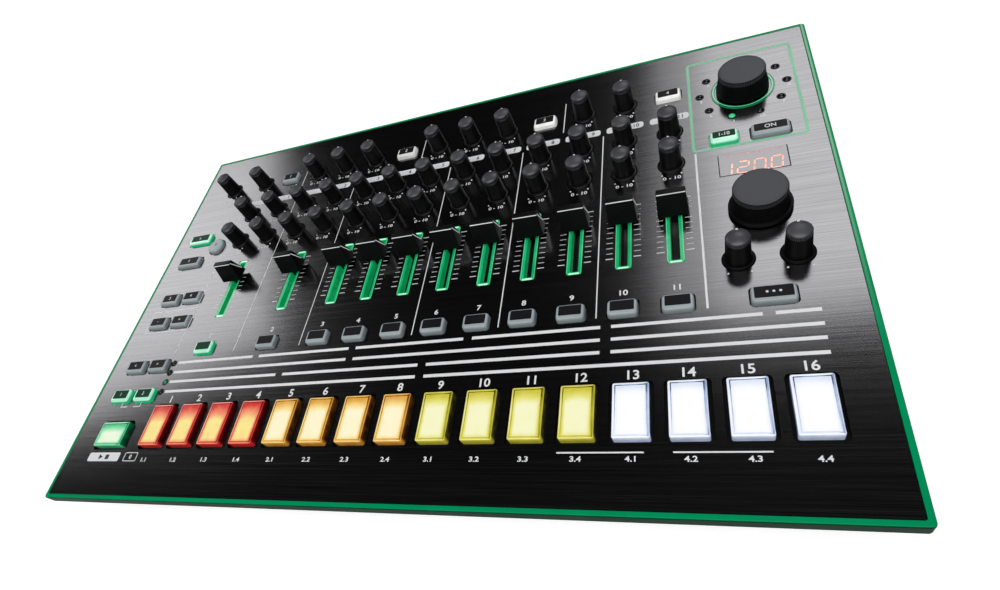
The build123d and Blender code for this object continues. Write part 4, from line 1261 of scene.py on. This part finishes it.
def make_housing():
    """Finishes of the plate, the trim, the case and what is inside."""
    colours = settings().colours
    metal = (0.08, 0.08, 0.082)
    for node, finish in (
        ("top_panel", brushed_plate("panel_black", colours.panel[:])),
        # the trim's darker front colour is painted shade for the faces turned to the front
        ("edge_trim", band_with_painted_light("trim_green", colours.trim[:], shaded(colours.trim[:], 0.13))),
        ("bottom_case", moulded("case_black", colours.case[:], 0.55, 1400.0, 0.00006)),
        ("rubber_feet", moulded("rubber_black", (0.013, 0.013, 0.013), 0.8, 1100.0, 0.00005, 0.2)),
        ("case_screws", moulded("screw_black", (0.03, 0.03, 0.032), 0.35, 2500.0, 0.00002, 0.2, metal=0.9)),
        ("main_board", moulded("board", (0.010, 0.035, 0.018), 0.5, 700.0, 0.00003, 0.3)),
        ("potentiometers", moulded("control_metal", metal, 0.45, 1500.0, 0.00002, 0.2, metal=0.5)),
        ("power_rocker", moulded("rocker_black", (0.010, 0.010, 0.011), 0.30, 1800.0, 0.00002, 0.2)),
    ):
        paint_node(node, finish)
    make_sockets()


# ---- printing


def print_frame(mesh, place, size, line, corners, top, steps=3, material=0):
    """A printed line round a rounded rectangle, inside its size."""
    (width, depth), (outer, inner) = size, corners
    add_hoop(
        mesh,
        rounded_outline(*place, width, depth, outer, steps),
        rounded_outline(*place, width - 2 * line, depth - 2 * line, inner, steps),
        INK_FOOT,
        top,
        material,
    )


def print_lines(mesh, top, sizes):
    """Stripes, section lines, brackets and outlines."""
    stripe = mm(sizes.stripe) / 2.0
    bars = [(x0, x1, y - stripe, y + stripe) for y, spans in STRIPE_ROWS for x0, x1 in spans]
    for k, y0, y1 in DIVIDERS:
        half = mm(sizes.divider) * (0.44 if k > 12 else 0.20 + 0.007 * k)
        bars.append((column_x(k) - half, column_x(k) + half, y0, y1))
    for bar in (*bars, *BEAT_LINES, *BRACKET):
        add_bar(mesh, *bar, INK_FOOT, top)
    print_frame(mesh, (29.0, 111.0), (36.0, 16.6), 0.5, (0.6, 0.4), top)
    print_frame(mesh, (366.5, 212.5), (51.1, 71.1), 1.4, (2.0, 1.2), top, 6, 2)


def print_bars(mesh, top):
    """Pale name bars with dark figures, the start bar with its signs and the frame beside it."""
    over = top + 0.03
    for number, (k, wide) in enumerate(NAME_BARS):
        x = column_x(k)
        add_slab(mesh, rounded_outline(x, NAME_BAR_Y, wide, 4.6, 1.6, 4), INK_FOOT, top)
        add_figures(mesh, str(number + 1), x + wide / 2 - 4.0, NAME_BAR_Y, 2.6, over, 0.06, 1)
    x, y = START_BAR_AT
    add_slab(mesh, rounded_outline(x, y, 24.0, 5.0, 0.9, 3), INK_FOOT, top)
    add_slab(mesh, [(x - 3.7, y - 1.5), (x - 0.9, y), (x - 3.7, y + 1.5)], top - 0.02, over, 1)
    add_bar(mesh, x + 1.3, x + 3.9, y - 1.3, y + 1.3, top - 0.02, over, 1)
    print_frame(mesh, ZERO_FRAME_AT, (9.6, 5.0), 0.4, (0.8, 0.5), top)
    add_figures(mesh, "0", *ZERO_FRAME_AT, 2.4, top, 0.06, bottom=INK_FOOT)


def print_figures(mesh, top, sizes):
    """Figures over and under the pads, over the keys and round the knobs."""
    small = mm(sizes.small_figure)

    def figure_at(text, x, y, height, weight=0.06, wide=1.3):
        add_figures(mesh, text, x, y, height, top, weight, 0, INK_FOOT, wide)

    for i in range(16):
        shift = -0.6 if 3 <= i <= 9 else 0.4
        figure_at(str(i + 1), pad_x(i) + shift, STEP_FIGURE_Y, mm(sizes.figure), 0.11, 1.08)
        figure_at(f"{i // 4 + 1}.{i % 4 + 1}", pad_x(i), BEAT_FIGURE_Y, small * 0.92, 0.07, 1.25)
    for number, k in enumerate(FADER_COLUMNS):
        figure_at(str(number + 1), column_x(k), VOICE_FIGURE_Y, 2.9, 0.08, 1.15)
    scales = [(column_x(k), y) for k in range(COLUMN_COUNT) for y in (REAR_TONE_Y, FRONT_TONE_Y)]
    scales += [(column_x(k), TOP_ROW_Y) for k in SCALE_COLUMNS] + [(VOLUME_X, TOP_ROW_Y)]
    for x, y in scales:
        figure_at("0 - 10", x, y - SCALE_DROP, 2.0)
    for i in range(DIAL_LAMPS):
        x, y = dial_lamp_at((LIT_DIAL_LAMP + i) % DIAL_LAMPS)
        figure_at(str(i + 1), x + 0.6, y - 4.0, 2.0, 0.05, 1.0)


def print_ticks(mesh, top, ink):
    """Tick ladders beside the fader slots, and the two dots of each knob's scale."""
    controls = settings().controls
    count, pitch = controls.tick_count, mm(controls.tick_pitch)
    ladder = ladder_pattern()
    for side in (-1, 1):
        points = [(column_x(k) + side * TICKS_AWAY, TICKS_FRONT_Y, top / 2) for k in FADER_COLUMNS]
        for number, step, wide, thick, high in (
            (count, pitch, 3.0, 0.22, 0.1), (2, pitch * (count - 1), 3.4, 0.38, 0.12)
        ):
            add_pattern(
                mesh, ladder, points,
                Count=number, Pitch=step, Length=wide, Width=thick, Height=top + high, Material=ink,
            )
    away, drop = SCALE_DOT
    points = [(x + side * away, y + drop, top / 2) for (x, y), _ in knob_nodes().values() for side in (-1, 1)]
    add_pattern(mesh, dots_pattern(), points, Radius=0.42, Height=top + 0.1, Sides=12, Material=ink)


def make_printing():
    """All the ink on the panel; figures only, no words."""
    colours = settings().colours
    sizes = settings().printing
    top = mm(sizes.thickness)
    inks = [
        moulded("ink_white", colours.printing[:], 0.5, 2600.0, 0.00001, 0.05),
        moulded("ink_dark", (0.02, 0.02, 0.022), 0.5, 2600.0, 0.00001, 0.1),
        moulded("ink_green", colours.outline[:], 0.5, 2600.0, 0.00001, 0.1),
    ]
    mesh = bmesh.new()
    print_lines(mesh, top, sizes)
    print_bars(mesh, top)
    print_figures(mesh, top, sizes)
    finish_piece(mesh, "panel_printing", "chassis", inks)
    mesh = bmesh.new()
    print_ticks(mesh, top, inks[0])
    finish_piece(mesh, "panel_ticks", "chassis", [inks[0]])


# ---- stage


def soft_light(name, middle, size, radiance, turn=None):
    """A large area light, in metres over the panel: aimed at its middle, or level and turned by degrees."""
    lamp = bpy.data.lights.new(name, "AREA")
    lamp.shape = "RECTANGLE"
    lamp.size, lamp.size_y = size
    lamp.energy = radiance * math.pi * size[0] * size[1]
    holder = bpy.data.objects.new(name, lamp)
    bpy.context.scene.collection.objects.link(holder)
    place = PANEL @ (Vector(middle) * 1000.0)
    if turn is None:
        aim = PANEL @ Vector((*MIDDLE, 0.0))
        facing = (aim - place).to_track_quat("-Z", "Y").to_matrix().to_4x4()
    else:
        facing = Matrix.Rotation(TILT, 4, "X") @ Matrix.Rotation(math.radians(turn), 4, "Z")
    holder.matrix_world = Matrix.Translation(place) @ facing
    holder.visible_camera = False


def make_floor(rgb):
    """Wide round floor, lifted towards white for the camera, more so far away."""
    mesh = bmesh.new()
    add_slab(mesh, circle_outline(0.0, 0.0, 9000.0, 96), -20.0, 0.0)
    bmesh.ops.scale(mesh, vec=(0.001, 0.001, 0.001), verts=mesh.verts[:])
    data = bpy.data.meshes.new("floor")
    mesh.to_mesh(data)
    mesh.free()
    floor = bpy.data.objects.new("floor", data)
    bpy.context.scene.collection.objects.link(floor)
    finish, tree, shader = new_finish("floor_pale")
    slow = noise(tree, object_pattern(tree), 3.0, 2.0)
    far = add_node(tree, "ShaderNodeVectorMath", {0: object_pattern(tree)}, operation="LENGTH")
    whiter = spread(tree, far.outputs["Value"], 0.70, 1.0, 0.45, 1.6)
    seen = add_node(tree, "ShaderNodeLightPath").outputs["Is Camera Ray"]
    fill(tree, shader, {
        "Base Color": colour_ramp(tree, slow, shaded(rgb, 0.99), rgb),
        "Roughness": 0.9,
        "Specular IOR Level": 0.0,
        "Emission Color": (1.0, 1.0, 1.0, 1.0),
        "Emission Strength": maths(tree, "MULTIPLY", seen, whiter),
    })
    data.materials.append(finish)


def make_stage():
    """Pale floor, soft lights, dim room and the camera."""
    stage = settings().stage
    scene = bpy.context.scene
    make_floor(stage.floor[:])

    world = bpy.data.worlds.new("studio")
    scene.world = world
    world.use_nodes = True
    sky = world.node_tree
    seen = add_node(sky, "ShaderNodeLightPath").outputs["Is Camera Ray"]
    tone = colour_ramp(sky, seen, (stage.room, stage.room, stage.room), (1.0, 1.0, 1.0))
    fill(sky, sky.nodes["Background"], {"Color": tone, "Strength": 1.0})

    soft_light("front_softbox", (0.25, -0.62, 1.60), (2.2, 1.0), stage.key_light)
    soft_light("right_softbox", (0.76, 1.99, 1.5), (0.80, 1.82), stage.side_light, 0.0)
    soft_light("right_softbox_edge", (0.26, 1.99, 1.5), (0.20, 1.82), stage.side_light * 0.45, 0.0)
    soft_light("left_softbox", (-2.581, 1.797, 1.5), (1.6, 1.9), stage.side_light, 20.0)

    lens = bpy.data.cameras.new("camera")
    lens.sensor_width = 36.0
    lens.lens = stage.lens
    lens.shift_x, lens.shift_y = CAMERA_SHIFT
    lens.clip_start = 0.01
    lens.clip_end = 60.0
    camera = bpy.data.objects.new("camera", lens)
    scene.collection.objects.link(camera)
    turn = Matrix.Rotation(TILT, 3, "X")
    right, down, ahead = (turn @ Vector(axis) for axis in (CAMERA_RIGHT, CAMERA_DOWN, CAMERA_AHEAD))
    axes = Matrix((right, -down, -ahead)).transposed().to_4x4()
    camera.matrix_world = Matrix.Translation(PANEL @ Vector(CAMERA_AT)) @ axes
    scene.camera = camera
    scene.view_settings.view_transform = "Standard"


# ---- operators


class DRUM_OT_housing(bpy.types.Operator):
    """Give the plate, the trim, the case and the electronics their finishes"""

    bl_idname = "drum.housing"
    bl_label = "Housing"

    def execute(self, context):
        make_housing()
        return {"FINISHED"}


class DRUM_OT_printing(bpy.types.Operator):
    """Print the stripes, ticks, bars and figures on the panel"""

    bl_idname = "drum.printing"
    bl_label = "Printing"

    def execute(self, context):
        make_printing()
        return {"FINISHED"}


class DRUM_OT_pads(bpy.types.Operator):
    """Make the step pads and the start pad"""

    bl_idname = "drum.pads"
    bl_label = "Pads"

    def execute(self, context):
        make_pads()
        return {"FINISHED"}


class DRUM_OT_keys(bpy.types.Operator):
    """Make the voice keys and the function keys"""

    bl_idname = "drum.keys"
    bl_label = "Keys"

    def execute(self, context):
        make_keys()
        return {"FINISHED"}


class DRUM_OT_knobs(bpy.types.Operator):
    """Make the small and medium knobs"""

    bl_idname = "drum.knobs"
    bl_label = "Knobs"

    def execute(self, context):
        make_knobs()
        return {"FINISHED"}


class DRUM_OT_dials(bpy.types.Operator):
    """Make the effect dial and the tempo dial"""

    bl_idname = "drum.dials"
    bl_label = "Dials"

    def execute(self, context):
        make_dials()
        return {"FINISHED"}


class DRUM_OT_faders(bpy.types.Operator):
    """Make the fader caps and light their slots"""

    bl_idname = "drum.faders"
    bl_label = "Faders"

    def execute(self, context):
        make_faders()
        return {"FINISHED"}


class DRUM_OT_display(bpy.types.Operator):
    """Make the display and the lamps"""

    bl_idname = "drum.display"
    bl_label = "Display and lamps"

    def execute(self, context):
        make_display()
        make_lamps()
        return {"FINISHED"}


class DRUM_OT_stage(bpy.types.Operator):
    """Set the floor, the lights and the camera"""

    bl_idname = "drum.stage"
    bl_label = "Stage"

    def execute(self, context):
        make_stage()
        return {"FINISHED"}


class DRUM_PT_machine(bpy.types.Panel):
    """Sidebar panel with the properties and the pieces"""

    bl_idname = "DRUM_PT_machine"
    bl_label = "Drum machine"
    bl_space_type = "VIEW_3D"
    bl_region_type = "UI"
    bl_category = "Drum machine"

    def draw(self, context):
        for name in ("colours", "controls", "printing", "stage"):
            properties = getattr(context.scene.drum_machine, name)
            box = self.layout.box()
            box.label(text=name.capitalize())
            for prop in properties.bl_rna.properties:
                if not prop.is_readonly and prop.identifier != "name":
                    box.prop(properties, prop.identifier)
        column = self.layout.column(align=True)
        for operator in OPERATORS:
            column.operator(operator.bl_idname)


OPERATORS = (
    DRUM_OT_housing,
    DRUM_OT_printing,
    DRUM_OT_pads,
    DRUM_OT_keys,
    DRUM_OT_knobs,
    DRUM_OT_dials,
    DRUM_OT_faders,
    DRUM_OT_display,
    DRUM_OT_stage,
)
CLASSES = (DrumColours, DrumControls, DrumPrinting, DrumStage, DrumMachine, *OPERATORS, DRUM_PT_machine)


def register():
    """Register the classes and the scene's properties."""
    for item in CLASSES:
        bpy.utils.register_class(item)
    bpy.types.Scene.drum_machine = bpy.props.PointerProperty(type=DrumMachine)


def unregister():
    """Take the properties and the classes away again."""
    del bpy.types.Scene.drum_machine
    for item in reversed(CLASSES):
        bpy.utils.unregister_class(item)


def main():
    """Make every piece in order."""
    register()
    bpy.ops.drum.housing()
    bpy.ops.drum.printing()
    bpy.ops.drum.pads()
    bpy.ops.drum.keys()
    bpy.ops.drum.knobs()
    bpy.ops.drum.dials()
    bpy.ops.drum.faders()
    bpy.ops.drum.display()
    bpy.ops.drum.stage()


if __name__ == "__main__":
    main()
